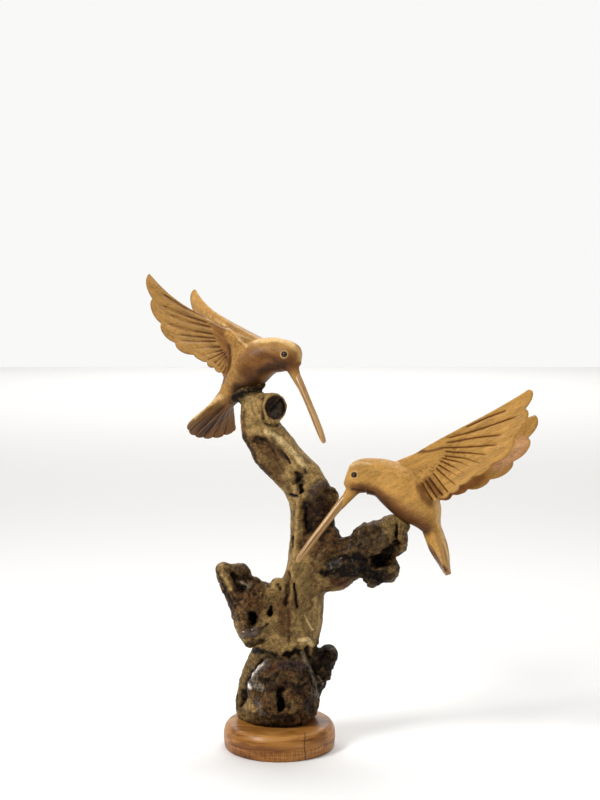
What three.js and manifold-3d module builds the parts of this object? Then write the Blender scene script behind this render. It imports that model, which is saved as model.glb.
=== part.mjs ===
// A pair of carved wooden hummingbirds perched on one gnarled piece of rootwood, which stands on a turned
// wooden disc. Millimetres, +Z up, the origin at the centre of the disc's underside, the front facing -Y.
//
// Each bird is carved from one block (head, body, wings and tail fan) and has a separate bill let into a
// socket in its face and two small bead eyes set in drilled rings. The root is one natural piece: a leaning
// stem, a burl with two horns on the left, a stout branch on the right, a spur and a round foot.
import * as THREE from "three";
import { mergeVertices } from "three/addons/utils/BufferGeometryUtils.js";
import Module from "manifold-3d";

const wasm = await Module();
wasm.setup();

// Driving dimensions
const DISC_RADIUS = 45.7;
const DISC_HEIGHT = 20;
const GLUE_GAP = 0.3;
const ROOT_FOOT = DISC_HEIGHT + GLUE_GAP;
const ROOT_SIDES = 12;
const BODY_SIDES = 16;
const FEATHER_COUNT = 8;
const TAIL_FEATHER_COUNT = 6;
const COLUMNS_PER_FEATHER = 3;
const EYE_RADIUS = 1.7;
const EYE_RING_RADIUS = 2.9;
const WING_HALF_THICKNESS = 1.2;
const FEATHER_GROOVE = 0.7;
const FEATHER_SCALLOP = 0.06;

// Each bird is carved to its own drawing, in its own frame: x forwards, y to its left, z up, the origin in
// the middle of the body. Its stations run from the face to the root of the tail as [x, z, half height,
// half width]. Each feather is a ray of the wing's fan as [angle from the span in degrees, length]. The two
// wings of a bird were not set at quite the same angles, and the far one has its own outline.
const lowerBird = {
  name: "lower_bird",
  size: 0.955,
  position: [100.8, -22, 210.7],
  yaw: 177,
  pitch: 0,
  roll: 12,
  stations: [
    [51.0, 5.6, 1.8, 2.2],
    [46.5, 8.0, 7.4, 7.4],
    [42.0, 10.3, 12.0, 10.8],
    [36.0, 13.3, 14.8, 12.4],
    [28.0, 13.5, 15.4, 12.8],
    [19.0, 11.8, 16.5, 14.4],
    [8.6, 6.4, 19.3, 17.0],
    [-2.0, -1.2, 20.6, 18.0],
    [-9.8, -9.2, 18.6, 16.8],
    [-15.6, -17.4, 15.4, 14.0],
    [-20.0, -26.0, 9.6, 10.8],
    [-23.4, -33.5, 6.2, 8.0],
    [-26.5, -42.0, 3.2, 5.0],
  ],
  bill: { root: [39.9, 7.7], drop: 52.6, length: 79 },
  wing: {
    wrist: [-16.9, 7, 33.4],
    left: { rise: 27, splay: 12, cant: 14 },
    right: {
      rise: 17,
      splay: 3,
      cant: 2,
      leadingTip: [101.2, -8.5],
      feathers: [
        [2.9, 98.8],
        [14.8, 86.5],
        [29.8, 69.5],
        [48.5, 53.5],
        [66, 44.5],
        [82, 43],
        [96.5, 43],
        [110, 43],
      ],
    },
    hook: 3.4,
    root: [-37.3, 0.4],
    arm: [19, -8],
    leadingTip: [99.3, -6.4],
    feathers: [
      [1.4, 99.5],
      [11.5, 86.5],
      [30, 67],
      [48.5, 50],
      [66, 42],
      [82, 41.5],
      [96.5, 42.5],
      [110, 42.5],
    ],
  },
  tail: { hub: [-17.5, -19.2], slant: 20, spread: 33, reach: 51, curl: -3, bulk: 6.8, taper: [0.45, 1.15] },
};
const upperBird = {
  name: "upper_bird",
  size: 0.9,
  position: [-20.3, 5, 308.8],
  yaw: -38.5,
  pitch: 1.7,
  roll: -9.4,
  stations: [
    [51.0, 6.5, 2.4, 2.6],
    [46.5, 7.9, 7.4, 7.6],
    [42.0, 10.0, 12.4, 11.1],
    [36.0, 12.6, 13.6, 12.4],
    [28.0, 12.6, 15.0, 12.8],
    [19.0, 12.0, 16.3, 13.9],
    [8.6, 8.6, 18.2, 17.0],
    [-2.0, 2.2, 20.4, 18.0],
    [-9.8, -6.2, 18.2, 16.8],
    [-17.0, -14.6, 15.2, 14.0],
    [-22.2, -23.2, 11.2, 11.4],
    [-27.0, -31.5, 8.6, 9.4],
    [-30.6, -40.0, 4.4, 6.0],
  ],
  bill: { root: [40.1, 7.6], drop: 54.1, length: 74.6 },
  wing: {
    wrist: [-26.4, 7, 33.9],
    left: {
      rise: 20,
      splay: 14,
      cant: 8,
      root: [-38.3, -4.5],
      arm: [15, 0],
      leadingTip: [102.5, -5.5],
      feathers: [
        [6, 108.8],
        [16.5, 92],
        [31, 76],
        [48, 60],
        [69, 46],
        [84, 44],
        [98, 44],
        [110, 45],
      ],
    },
    right: { rise: 22, splay: 10.3, cant: 3 },
    hook: 6.5,
    root: [-38.3, -3],
    arm: [15, 9],
    leadingTip: [105, -6.5],
    feathers: [
      [5.2, 101.8],
      [17.1, 88.3],
      [31, 73],
      [48, 58],
      [69, 44],
      [84, 42.5],
      [98, 43],
      [110, 45],
    ],
  },
  tail: { hub: [-23.4, -19.7], slant: 30, spread: 38.8, reach: 56.3, curl: -4, bulk: 8.1, taper: [0.15, 0.95] },
};

const carvedPale = new THREE.MeshStandardMaterial({ color: 0xd3a468, roughness: 0.5, metalness: 0 });
const carvedBrown = new THREE.MeshStandardMaterial({ color: 0xa9793f, roughness: 0.45, metalness: 0 });
const billWood = new THREE.MeshStandardMaterial({ color: 0xc08a55, roughness: 0.45, metalness: 0 });
const rootWood = new THREE.MeshStandardMaterial({ color: 0x6f5230, roughness: 0.4, metalness: 0 });
const discWood = new THREE.MeshStandardMaterial({ color: 0xb87f45, roughness: 0.45, metalness: 0 });
const beadBlack = new THREE.MeshStandardMaterial({ color: 0x120c08, roughness: 0.15, metalness: 0 });

const lerp = THREE.MathUtils.lerp;
const radians = THREE.MathUtils.degToRad;
const smoothstep = THREE.MathUtils.smoothstep;

// A closed geometry as a solid that can be joined and cut
function solidOf(geometry) {
  const bare = new THREE.BufferGeometry();
  bare.setAttribute("position", geometry.getAttribute("position"));
  if (geometry.index) bare.setIndex(geometry.index);
  const merged = mergeVertices(bare, 1e-4);
  return new wasm.Manifold(
    new wasm.Mesh({
      numProp: 3,
      vertProperties: merged.attributes.position.array,
      triVerts: new Uint32Array(merged.index.array),
    }),
  );
}

// A solid as a named mesh
function meshOf(solid, name, material) {
  const { numProp, numVert, vertProperties, triVerts } = solid.getMesh();
  const positions = new Float32Array(numVert * 3);
  for (let i = 0; i < numVert; i++) {
    positions.set(vertProperties.subarray(i * numProp, i * numProp + 3), i * 3);
  }
  const geometry = new THREE.BufferGeometry();
  geometry.setAttribute("position", new THREE.BufferAttribute(positions, 3));
  geometry.setIndex(new THREE.BufferAttribute(triVerts, 1));
  geometry.computeVertexNormals();
  const mesh = new THREE.Mesh(geometry, material);
  mesh.name = name;
  return mesh;
}

// A closed skin through rings of points, each ring anticlockwise when seen from the end it moves towards
function loft(rings) {
  const sides = rings[0].length;
  const points = rings.flat();
  const index = [];
  for (let ring = 0; ring < rings.length - 1; ring++) {
    for (let side = 0; side < sides; side++) {
      const next = (side + 1) % sides;
      const [a, b] = [ring * sides + side, ring * sides + next];
      index.push(a, b, b + sides, a, b + sides, a + sides);
    }
  }
  const centreOf = (ring) => ring.reduce((sum, p) => sum.add(p), new THREE.Vector3()).divideScalar(sides);
  const first = points.push(centreOf(rings[0])) - 1;
  const last = points.push(centreOf(rings.at(-1))) - 1;
  const top = (rings.length - 1) * sides;
  for (let side = 0; side < sides; side++) {
    const next = (side + 1) % sides;
    index.push(first, next, side, last, top + side, top + next);
  }
  return new THREE.BufferGeometry().setFromPoints(points).setIndex(index);
}

// A tapering limb through stations [x, y, z, radius in the plane of the view, radius in depth]. Its
// section is an ellipse with a few shallow lobes, as a root's is, and its ends are rounded.
function limb(stations, { sides = ROOT_SIDES, steps = 1, lobes = 0.06, phase = 0, cut = false } = {}) {
  const curve = new THREE.CatmullRomCurve3(stations.map(([x, y, z]) => new THREE.Vector3(x, y, z)));
  const wide = new THREE.SplineCurve(stations.map((s, i) => new THREE.Vector2(i, s[3])));
  const deep = new THREE.SplineCurve(stations.map((s, i) => new THREE.Vector2(i, s[4] ?? s[3])));
  const spans = (stations.length - 1) * steps;
  const ringAt = (t, scale, push) => {
    const tangent = curve.getTangent(t);
    const depthAxis = new THREE.Vector3(0, 1, 0).projectOnPlane(tangent).normalize();
    const planeAxis = new THREE.Vector3().crossVectors(depthAxis, tangent);
    const centre = curve.getPoint(t).addScaledVector(tangent, push);
    const [rx, ry] = [wide.getPoint(t).y, deep.getPoint(t).y];
    return Array.from({ length: sides }, (_, side) => {
      const angle = (2 * Math.PI * side) / sides;
      const lobe = 1 + lobes * (Math.sin(3 * angle + phase + 5 * t) + 0.6 * Math.sin(5 * angle + 2 * phase));
      return centre
        .clone()
        .addScaledVector(planeAxis, rx * scale * lobe * Math.cos(angle))
        .addScaledVector(depthAxis, ry * scale * lobe * Math.sin(angle));
    });
  };
  const rings = Array.from({ length: spans + 1 }, (_, i) => ringAt(i / spans, 1, 0));
  if (!cut) {
    const [startRadius, endRadius] = [stations[0][3], stations.at(-1)[3]];
    rings.unshift(ringAt(0, 0.6, -0.45 * startRadius));
    rings.push(ringAt(1, 0.6, 0.45 * endRadius));
  }
  return solidOf(loft(rings));
}

// An ellipsoid, for a hollow, a boss or an eye
function ellipsoid(centre, radii, { tilt = 0, detail = 8 } = {}) {
  const geometry = new THREE.SphereGeometry(1, detail, Math.ceil(detail * 0.7));
  geometry.scale(...radii);
  geometry.rotateY(radians(tilt));
  geometry.translate(...centre);
  return solidOf(geometry);
}

const joined = (solids) => solids.reduce((whole, solid) => whole.add(solid));
const cutBy = (solid, cutters) => cutters.reduce((rest, cutter) => rest.subtract(cutter), solid);

// Base disc: a straight band below, a domed shoulder above and a flat top
function baseDisc() {
  const bandTop = 9;
  const profile = [
    new THREE.Vector2(0, 0),
    new THREE.Vector2(DISC_RADIUS - 1.8, 0),
    new THREE.Vector2(DISC_RADIUS - 0.9, 0.9),
    new THREE.Vector2(DISC_RADIUS, bandTop),
    new THREE.Vector2(DISC_RADIUS - 0.6, 12.5),
    new THREE.Vector2(DISC_RADIUS - 1.7, 16),
    new THREE.Vector2(DISC_RADIUS - 3.4, 19),
    new THREE.Vector2(DISC_RADIUS - 4.8, DISC_HEIGHT),
    new THREE.Vector2(0, DISC_HEIGHT),
  ];
  const geometry = new THREE.LatheGeometry(profile, 36);
  geometry.rotateX(Math.PI / 2);
  return solidOf(geometry);
}

const EYE_PLACE = [43, 14];
const EYE_OFFSET = 10.3;

// The body with its surface moved out by grow
function bodySolid({ size, stations }, grow = 0) {
  const spine = new THREE.CatmullRomCurve3(stations.map(([x, z]) => new THREE.Vector3(x, 0, z)));
  const rings = stations.map(([, , halfHeight, halfWidth], i) => {
    const t = i / (stations.length - 1);
    const centre = spine.getPoint(t).multiplyScalar(size);
    const back = new THREE.Vector3().crossVectors(new THREE.Vector3(0, 1, 0), spine.getTangent(t));
    return Array.from({ length: BODY_SIDES }, (_, side) => {
      const angle = (2 * Math.PI * side) / BODY_SIDES;
      return centre
        .clone()
        .addScaledVector(back, (halfHeight * size + grow) * Math.cos(angle))
        .addScaledVector(new THREE.Vector3(0, 1, 0), (halfWidth * size + grow) * Math.sin(angle));
    });
  });
  return solidOf(loft(rings));
}

// A flat closed blade from a grid of places, each with its own half thickness along the blade's normal
function blade(columns, rows, placeAt) {
  const points = [];
  for (const side of [1, -1]) {
    for (let row = 0; row < rows; row++) {
      for (let column = 0; column < columns; column++) points.push(placeAt(column, row, side));
    }
  }
  const at = (row, column, face) => (face * rows + row) * columns + column;
  const index = [];
  const quad = (a, b, c, d) => index.push(a, b, c, a, c, d);
  for (let row = 0; row < rows - 1; row++) {
    for (let column = 0; column < columns - 1; column++) {
      quad(at(row, column, 0), at(row, column + 1, 0), at(row + 1, column + 1, 0), at(row + 1, column, 0));
      quad(at(row, column, 1), at(row + 1, column, 1), at(row + 1, column + 1, 1), at(row, column + 1, 1));
    }
    const end = columns - 1;
    quad(at(row, 0, 0), at(row + 1, 0, 0), at(row + 1, 0, 1), at(row, 0, 1));
    quad(at(row, end, 0), at(row, end, 1), at(row + 1, end, 1), at(row + 1, end, 0));
  }
  for (let column = 0; column < columns - 1; column++) {
    const end = rows - 1;
    quad(at(0, column, 0), at(0, column, 1), at(0, column + 1, 1), at(0, column + 1, 0));
    quad(at(end, column, 0), at(end, column + 1, 0), at(end, column + 1, 1), at(end, column, 1));
  }
  const geometry = new THREE.BufferGeometry().setFromPoints(points).setIndex(index);
  const made = solidOf(geometry);
  if (made.volume() > 0) return made;
  for (let i = 0; i < index.length; i += 3) [index[i + 1], index[i + 2]] = [index[i + 2], index[i + 1]];
  return solidOf(geometry.setIndex(index));
}

// How far across its feather a share of the wing lies, from -1 through 0 on the quill to 1
const acrossFeather = (share, count) => (share === 1 ? 1 : 2 * ((share * count) % 1) - 1);

const alongFan = ([angle, length]) =>
  new THREE.Vector2(length * Math.cos(radians(angle)), length * Math.sin(radians(angle)));

// The flat outline of a wing, in the wing's own plane: x runs from the wrist along the span and y towards
// the hind edge. A place is given by its share across the feathers and its share out to their tips.
function wingOutline(wing) {
  const shoulder = new THREE.QuadraticBezierCurve(
    new THREE.Vector2(...wing.root),
    new THREE.Vector2(-28, 17),
    new THREE.Vector2(-22, 28),
  );
  const arm = new THREE.QuadraticBezierCurve(
    new THREE.Vector2(...wing.arm),
    new THREE.Vector2(14, 12),
    new THREE.Vector2(-9, 24),
  );
  const tips = new THREE.SplineCurve([
    new THREE.Vector2(...wing.leadingTip),
    ...wing.feathers.map(alongFan),
    new THREE.Vector2(-20, 34),
  ]);
  return (across, out) => {
    const tip = tips.getPoint((0.5 + across * FEATHER_COUNT) / (FEATHER_COUNT + 1));
    const edge = (across > 0 ? 1 : 0.4) * Math.abs(acrossFeather(across, FEATHER_COUNT)) ** 2.4;
    tip.setLength(tip.length() * (1 - FEATHER_SCALLOP * edge));
    const rest = 1 - out;
    const place = tip.multiplyScalar(out * out);
    place.addScaledVector(shoulder.getPoint(across), rest * rest);
    place.addScaledVector(arm.getPoint(across), 2 * rest * out);
    place.y -= wing.hook * Math.max(0, (place.x - 50) / 50) ** 2;
    return place;
  };
}

// One wing on side 1 (left) or -1 (right), its faces grooved between the feathers
function wingSolid({ size, wing }, side) {
  const set = { ...wing, ...(side === 1 ? wing.left : wing.right) };
  const [rise, splay, cant] = [radians(set.rise), radians(set.splay), radians(set.cant)];
  const span = new THREE.Vector3(
    -Math.cos(rise) * Math.cos(splay),
    side * Math.sin(splay),
    Math.sin(rise) * Math.cos(splay),
  );
  const chord = new THREE.Vector3(
    -Math.sin(rise) * Math.cos(cant),
    side * Math.sin(cant),
    -Math.cos(rise) * Math.cos(cant),
  );
  const outward = new THREE.Vector3().crossVectors(span, chord).normalize().multiplyScalar(side);
  const wrist = new THREE.Vector3(wing.wrist[0], side * wing.wrist[1], wing.wrist[2]);
  const placeOf = wingOutline(set);
  const rows = [0, 0.25, 0.46, 0.68, 0.88, 1];
  const columns = FEATHER_COUNT * COLUMNS_PER_FEATHER + 1;
  return blade(columns, rows.length, (column, row, face) => {
    const across = column / (columns - 1);
    const out = rows[row];
    const flat = placeOf(across, out);
    const isGroove = column % COLUMNS_PER_FEATHER === 0 && across > 0 && across < 1;
    const groove = isGroove && out < 1 ? FEATHER_GROOVE * smoothstep(out, 0.3, 0.5) : 0;
    const half = lerp(5.5, WING_HALF_THICKNESS, smoothstep(out, 0.1, 0.75)) - groove;
    const camber = 2.5 * Math.sin(Math.PI * across) - 5 * (flat.x / 100) ** 2;
    return wrist
      .clone()
      .addScaledVector(span, flat.x)
      .addScaledVector(chord, flat.y)
      .addScaledVector(outward, camber + face * half)
      .multiplyScalar(size);
  });
}

// Tail fan: rays from a point inside the rump, thick in the middle and thin at its edges
function tailSolid({ size, tail }) {
  const hub = new THREE.Vector3(tail.hub[0], 0, tail.hub[1]);
  const down = new THREE.Vector3(-Math.sin(radians(tail.slant)), 0, -Math.cos(radians(tail.slant)));
  const behind = new THREE.Vector3(down.z, 0, -down.x);
  const left = new THREE.Vector3(0, 1, 0);
  const spread = radians(tail.spread);
  const shares = [0.14, 0.34, 0.56, 0.77, 0.92, 1];
  const columns = TAIL_FEATHER_COUNT * COLUMNS_PER_FEATHER + 1;
  return blade(columns, shares.length, (column, row, face) => {
    const across = column / (columns - 1);
    const out = shares[row];
    const angle = lerp(-spread, spread, across);
    const fromQuill = Math.abs(acrossFeather(across, TAIL_FEATHER_COUNT));
    const fromMiddle = Math.abs(2 * across - 1);
    const reach = out * tail.reach - (out === 1 ? 1.8 * fromQuill ** 2 + 4 * fromMiddle ** 5 : 0);
    const groove = fromQuill > 0.9 ? 0.45 * smoothstep(out, 0.4, 0.6) : 0;
    const bulk = (0.4 + tail.bulk * (1 - smoothstep(out, ...tail.taper))) * (1 - fromMiddle ** 2);
    const half = Math.max(0.9 + bulk - groove, 0.7);
    return hub
      .clone()
      .addScaledVector(down, reach * Math.cos(angle))
      .addScaledVector(left, reach * Math.sin(angle))
      .addScaledVector(behind, tail.curl * fromMiddle ** 2 * out + face * half)
      .multiplyScalar(size);
  });
}

// Bill: a round, slightly drooping spike, from inside the face to its blunt tip
function billSolid({ size, bill }, grow = 0) {
  const radiusAt = [3.6, 3.5, 3.1, 2.8, 2.6, 2.3, 1.8, 0.7];
  const shareAt = [0, 0.12, 0.28, 0.5, 0.72, 0.87, 0.95, 1];
  const sides = 8;
  const drop = radians(bill.drop);
  const along = new THREE.Vector3(Math.cos(drop), 0, -Math.sin(drop));
  const across = new THREE.Vector3(Math.sin(drop), 0, Math.cos(drop));
  const right = new THREE.Vector3(0, -1, 0);
  const root = new THREE.Vector3(bill.root[0], 0, bill.root[1]).multiplyScalar(size);
  const rings = shareAt.map((share, i) => {
    const centre = root
      .clone()
      .addScaledVector(along, share * bill.length - (i === 0 ? grow : 0))
      .addScaledVector(across, 4 * share * (1 - share));
    const radius = radiusAt[i] * size + grow;
    return Array.from({ length: sides }, (_, side) => {
      const angle = (2 * Math.PI * side) / sides;
      return centre
        .clone()
        .addScaledVector(across, radius * Math.cos(angle))
        .addScaledVector(right, radius * Math.sin(angle));
    });
  });
  return solidOf(loft(rings));
}

// Where the bead of an eye sits, just inside the surface of the head
function eyeCentre({ size }, side) {
  return [EYE_PLACE[0] * size, side * EYE_OFFSET * size, EYE_PLACE[1] * size];
}

function birdGroup(bird, bodyMaterial) {
  const rings = [1, -1].map((side) => ellipsoid(eyeCentre(bird, side), Array(3).fill(EYE_RING_RADIUS)));
  const whole = joined([bodySolid(bird), wingSolid(bird, 1), wingSolid(bird, -1), tailSolid(bird)]);
  const carved = cutBy(whole, [billSolid(bird, GLUE_GAP), ...rings]);
  const group = new THREE.Group();
  group.add(meshOf(carved, bird.name, bodyMaterial));
  group.add(meshOf(billSolid(bird), `${bird.name}_bill`, billWood));
  for (const [side, word] of [
    [1, "left"],
    [-1, "right"],
  ]) {
    const bead = ellipsoid([0, 0, 0], Array(3).fill(EYE_RADIUS));
    const eye = meshOf(bead, `${bird.name}_eye_${word}`, beadBlack);
    eye.position.set(...eyeCentre(bird, side));
    group.add(eye);
  }
  group.position.set(...bird.position);
  group.rotation.set(radians(bird.roll), radians(bird.pitch), radians(bird.yaw), "ZYX");
  group.updateMatrixWorld(true);
  return group;
}

// Rootwood
const STEM = [
  [-3, 3, ROOT_FOOT, 29, 23],
  [-4, 3, 40, 30, 24],
  [-1, 3, 62, 27, 22],
  [4, 2, 80, 25, 20],
  [9, 2, 97, 24.2, 20],
  [15, 1, 115, 20.8, 18],
  [19, 0, 133, 17.8, 17],
  [22.3, 0, 152, 15.2, 15],
  [25, 0, 170, 16.3, 15],
  [27, 0, 188, 18, 15],
  [25.5, 0, 204, 18.5, 15],
  [18.4, 0, 219, 17.3, 14.5],
  [6, 0, 231, 17.6, 14.5],
  [-5.4, 0, 245, 18, 14],
  [-13.8, -1, 258, 17.2, 13],
  [-16.4, -1, 270, 14, 12.5],
  [-18.5, -1, 280, 12, 12],
  [-20, -1, 286.5, 10, 10.5],
];
const FOOT_LEFT = [
  [-25, 7, ROOT_FOOT, 11],
  [-26, 6, 40, 10],
  [-17.6, 4, 62, 11],
  [-9, 2, 78, 14],
];
const BULB = [
  [4, -3, ROOT_FOOT, 21, 17],
  [3, -4, 30, 27, 20],
  [2, -5, 46, 29, 21],
  [5, -5, 60, 24, 18],
  [10, -4, 68, 16, 12],
];
const SPUR = [
  [22, 9, ROOT_FOOT, 8],
  [25.5, 10, 42, 9],
  [31, 10, 58, 11],
  [37, 10, 71, 10],
  [44, 10, 76.5, 5.5],
];
const BURL = [
  [-15.5, -5, 93, 15.4],
  [-18, -7, 100, 17],
  [-24.5, -8, 115, 15],
  [-32.5, -8, 129, 12.9],
  [-40, -8, 139, 10.5],
  [-46.5, -8, 149.5, 6.6],
];
const BURL_HORN = [
  [-24, -7, 125, 12],
  [-29.5, -8, 139, 8.5],
  [-31.5, -8, 149, 6],
];
const BURL_SHOULDER = [
  [2, -3, 98, 18],
  [-7, -5, 115, 16],
  [-14, -7, 128, 12],
  [-16, -8, 133, 7],
];
const BURL_KNOB = [
  [3, -4, 112, 14],
  [1, -6, 127, 10],
  [0, -6, 134, 6],
];
const BRANCH = [
  [28, 0, 145, 20, 16],
  [46, -4, 149, 19.6, 17],
  [61, -8, 158, 15.6, 16],
  [75, -13, 169, 17, 16],
  [87, -17, 173, 15.5, 15],
  [97, -19, 170.5, 10.4, 11],
];
const CROTCH = [
  [30, -2, 187, 12, 11],
  [36, -3, 177.5, 10.6, 10],
  [44, -4, 166, 9, 9],
];
const BRANCH_KNOB = [
  [74, -10, 156, 12],
  [84, -15, 150, 11],
  [91, -17, 145.6, 9],
];
const BRANCH_STUMP = [
  [70, -10, 152, 10],
  [74.5, -12, 142, 7],
  [76.5, -13, 136, 6],
];
const STEM_SHOULDER = [
  [28, -2, 182, 13, 12],
  [36, -3, 196, 11, 11],
  [43, -3, 208.5, 5.6, 7.5],
];
const UPPER_PERCH = [
  [-38, 3, 282, 3.5, 7],
  [-30, 3, 288, 6, 9],
  [-20, 3, 293, 6, 8],
  [-12, 3, 297, 3, 6],
];
const LOWER_PERCH = [
  [86, -19, 185, 7, 9],
  [93, -21, 188, 7, 9],
  [101, -21, 184, 6, 9],
];

// The sawn side shoot near the top: a stub with a swollen bark rim round a sunken end
function sawnShoot() {
  const profile = [
    [0, -14],
    [9, -14],
    [10.5, -5],
    [12, -1.5],
    [11.8, 1.4],
    [10, 2.2],
    [8.6, 1.2],
    [8.2, -0.6],
    [0, -0.9],
  ].map(([r, along]) => new THREE.Vector2(r, along));
  const geometry = new THREE.LatheGeometry(profile, 16);
  const axis = new THREE.Vector3(0.6, -0.8, 0.05).normalize();
  geometry.applyQuaternion(new THREE.Quaternion().setFromUnitVectors(new THREE.Vector3(0, 1, 0), axis));
  geometry.translate(-3, -12.5, 277.5);
  return solidOf(geometry);
}

function rootSolid(perchCutters) {
  const limbs = [
    limb(STEM, { sides: 14, steps: 1, cut: true }),
    limb(FOOT_LEFT, { phase: 1, cut: true }),
    limb(BULB, { sides: 14, phase: 2, cut: true }),
    limb(SPUR, { phase: 3 }),
    limb(BURL, { phase: 4 }),
    limb(BURL_HORN, { sides: 10, phase: 5 }),
    limb(BURL_SHOULDER, { phase: 6 }),
    limb(BURL_KNOB, { sides: 10, phase: 7 }),
    limb(BRANCH, { sides: 14, phase: 8 }),
    limb(CROTCH, { sides: 8, phase: 14 }),
    limb(BRANCH_KNOB, { sides: 10, phase: 9 }),
    limb(BRANCH_STUMP, { sides: 10, phase: 10 }),
    limb(STEM_SHOULDER, { sides: 10, phase: 11 }),
    limb(UPPER_PERCH, { sides: 8, phase: 12 }),
    limb(LOWER_PERCH, { sides: 8, phase: 13 }),
    sawnShoot(),
  ];
  const hollows = [
    ellipsoid([-12, -14, 247], [7, 4, 17], { tilt: -37 }),
    ellipsoid([29, -17, 184], [8, 5, 19], { tilt: 8 }),
    ellipsoid([88, -32, 158], [16, 13, 6.5], { tilt: -32 }),
    ellipsoid([-22, -23, 108], [4.5, 9, 7.5]),
    ellipsoid([-7, -21, 112], [2.4, 8, 4]),
    ellipsoid([0.5, -26, 38], [3.2, 9, 10]),
    ellipsoid([18, -17, 208], [4, 7, 4]),
  ];
  const foot = new THREE.BoxGeometry(200, 200, 40);
  foot.translate(0, 0, ROOT_FOOT - 20);
  return cutBy(joined(limbs), [...hollows, solidOf(foot), ...perchCutters]);
}

// Assembly
const lower = birdGroup(lowerBird, carvedPale);
const upper = birdGroup(upperBird, carvedBrown);

// What a bird takes out of the root beneath it, with room for the glue
const saddle = (bird, group) => bodySolid(bird, GLUE_GAP).transform(group.matrixWorld.elements);

const sculpture = new THREE.Group();
sculpture.add(meshOf(baseDisc(), "base_disc", discWood));
sculpture.add(meshOf(rootSolid([saddle(lowerBird, lower), saddle(upperBird, upper)]), "rootwood", rootWood));
sculpture.add(lower, upper);
export default sculpture;
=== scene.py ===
# %% [markdown]
# # A pair of carved hummingbirds on rootwood
# The real object is a tabletop carving. Two birds, each cut from one block, perch on a gnarled root that
# stands on a turned disc. The carver varnished the whole thing, so every surface has a soft sheen, and the
# thickest varnish shines as if it were wet. This lesson starts from a plain model of the pieces at their real
# size, and gives each one its finished surface.

# %% Load the plain model
import math
from itertools import product

import bpy
import numpy as np
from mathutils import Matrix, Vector
from mathutils.bvhtree import BVHTree


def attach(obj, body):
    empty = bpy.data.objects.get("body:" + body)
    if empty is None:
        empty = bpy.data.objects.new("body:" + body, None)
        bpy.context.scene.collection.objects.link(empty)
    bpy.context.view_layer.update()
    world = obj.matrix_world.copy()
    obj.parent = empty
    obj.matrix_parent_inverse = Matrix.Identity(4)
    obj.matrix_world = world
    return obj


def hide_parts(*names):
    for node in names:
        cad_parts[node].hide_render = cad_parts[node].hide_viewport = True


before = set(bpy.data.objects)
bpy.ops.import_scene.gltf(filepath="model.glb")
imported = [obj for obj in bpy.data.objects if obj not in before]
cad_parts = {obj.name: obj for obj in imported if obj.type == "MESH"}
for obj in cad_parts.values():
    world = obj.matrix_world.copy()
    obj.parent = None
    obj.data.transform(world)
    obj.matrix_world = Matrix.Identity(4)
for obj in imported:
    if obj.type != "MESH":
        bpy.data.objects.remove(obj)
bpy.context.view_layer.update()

MM = 0.001
print("pieces in the plain model:", sorted(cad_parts))

# %% [markdown]
# ## Camera
# The photograph was taken with a long lens from a little above the middle of the carving. The camera could be
# turned by eye until the picture looks right. Here it is set from its distance, its tilt and its lens
# instead, so that a pixel of the photograph and a place on the carving can be worked out from each other.

# %% Camera
PHOTO_WIDTH, PHOTO_HEIGHT = 600, 800
FOCUS_PIXELS = 1372
SENSOR = 36
CAMERA_PLACE = np.array([16.8, -1100, 366])
CAMERA_PITCH = math.radians(4.32)

camera_data = bpy.data.cameras.new("photo_camera")
camera_data.sensor_fit = "VERTICAL"
camera_data.sensor_height = SENSOR
camera_data.lens = SENSOR * FOCUS_PIXELS / PHOTO_HEIGHT
camera = bpy.data.objects.new("photo_camera", camera_data)
camera.location = Vector(CAMERA_PLACE * MM)
camera.rotation_euler = (math.pi / 2 - CAMERA_PITCH, 0, 0)
bpy.context.scene.collection.objects.link(camera)
bpy.context.scene.camera = camera
print("lens", round(camera_data.lens, 2), "mm")

# %% Between pixels and places
VIEW_AHEAD = np.array([0, math.cos(CAMERA_PITCH), -math.sin(CAMERA_PITCH)])
VIEW_UP = np.array([0, math.sin(CAMERA_PITCH), math.cos(CAMERA_PITCH)])
VIEW_RIGHT = np.array([1.0, 0, 0])


def ray_through(pixel_x, pixel_y):
    """The direction in which the camera sees a pixel of the photograph."""
    across = (pixel_x - PHOTO_WIDTH / 2) / FOCUS_PIXELS
    above = (PHOTO_HEIGHT / 2 - pixel_y) / FOCUS_PIXELS
    ray = VIEW_AHEAD + across * VIEW_RIGHT + above * VIEW_UP
    return ray / np.linalg.norm(ray)


def seen(points):
    """Where the camera sees points: their pixels in the photograph, and how far ahead they are in mm."""
    rel = np.atleast_2d(points) - CAMERA_PLACE
    ahead = rel @ VIEW_AHEAD
    right = FOCUS_PIXELS * (rel @ VIEW_RIGHT) / ahead
    up = FOCUS_PIXELS * (rel @ VIEW_UP) / ahead
    return np.stack([PHOTO_WIDTH / 2 + right, PHOTO_HEIGHT / 2 - up], 1), ahead


print("the camera sees the disc's middle at pixel", seen((0, 0, 0))[0][0].round())

# %% [markdown]
# ## Colours and nodes
# Colours are chosen as they look on a screen, but a shader counts light, so one function turns each colour
# into linear values. Another function adds every node: it sets the node's properties, and fills its inputs
# with values or with links.


# %% Colour and node helpers
def colour(hex_value):
    """An sRGB hex colour as the linear values that a shader takes."""
    shares = [int(hex_value[i : i + 2], 16) / 255 for i in (1, 3, 5)]
    return [s / 12.92 if s <= 0.04045 else ((s + 0.055) / 1.055) ** 2.4 for s in shares] + [1.0]


def fill_inputs(tree, node, inputs):
    """Fill a node's inputs with values, or with links from other sockets."""
    for name, value in inputs.items():
        if isinstance(value, bpy.types.NodeSocket):
            tree.links.new(value, node.inputs[name])
        else:
            node.inputs[name].default_value = value


def add_node(tree, kind, settings=None, inputs=None):
    """Add a node, set its properties and fill its inputs."""
    made = tree.nodes.new(kind)
    for name, value in (settings or {}).items():
        setattr(made, name, value)
    fill_inputs(tree, made, inputs or {})
    return made


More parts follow.
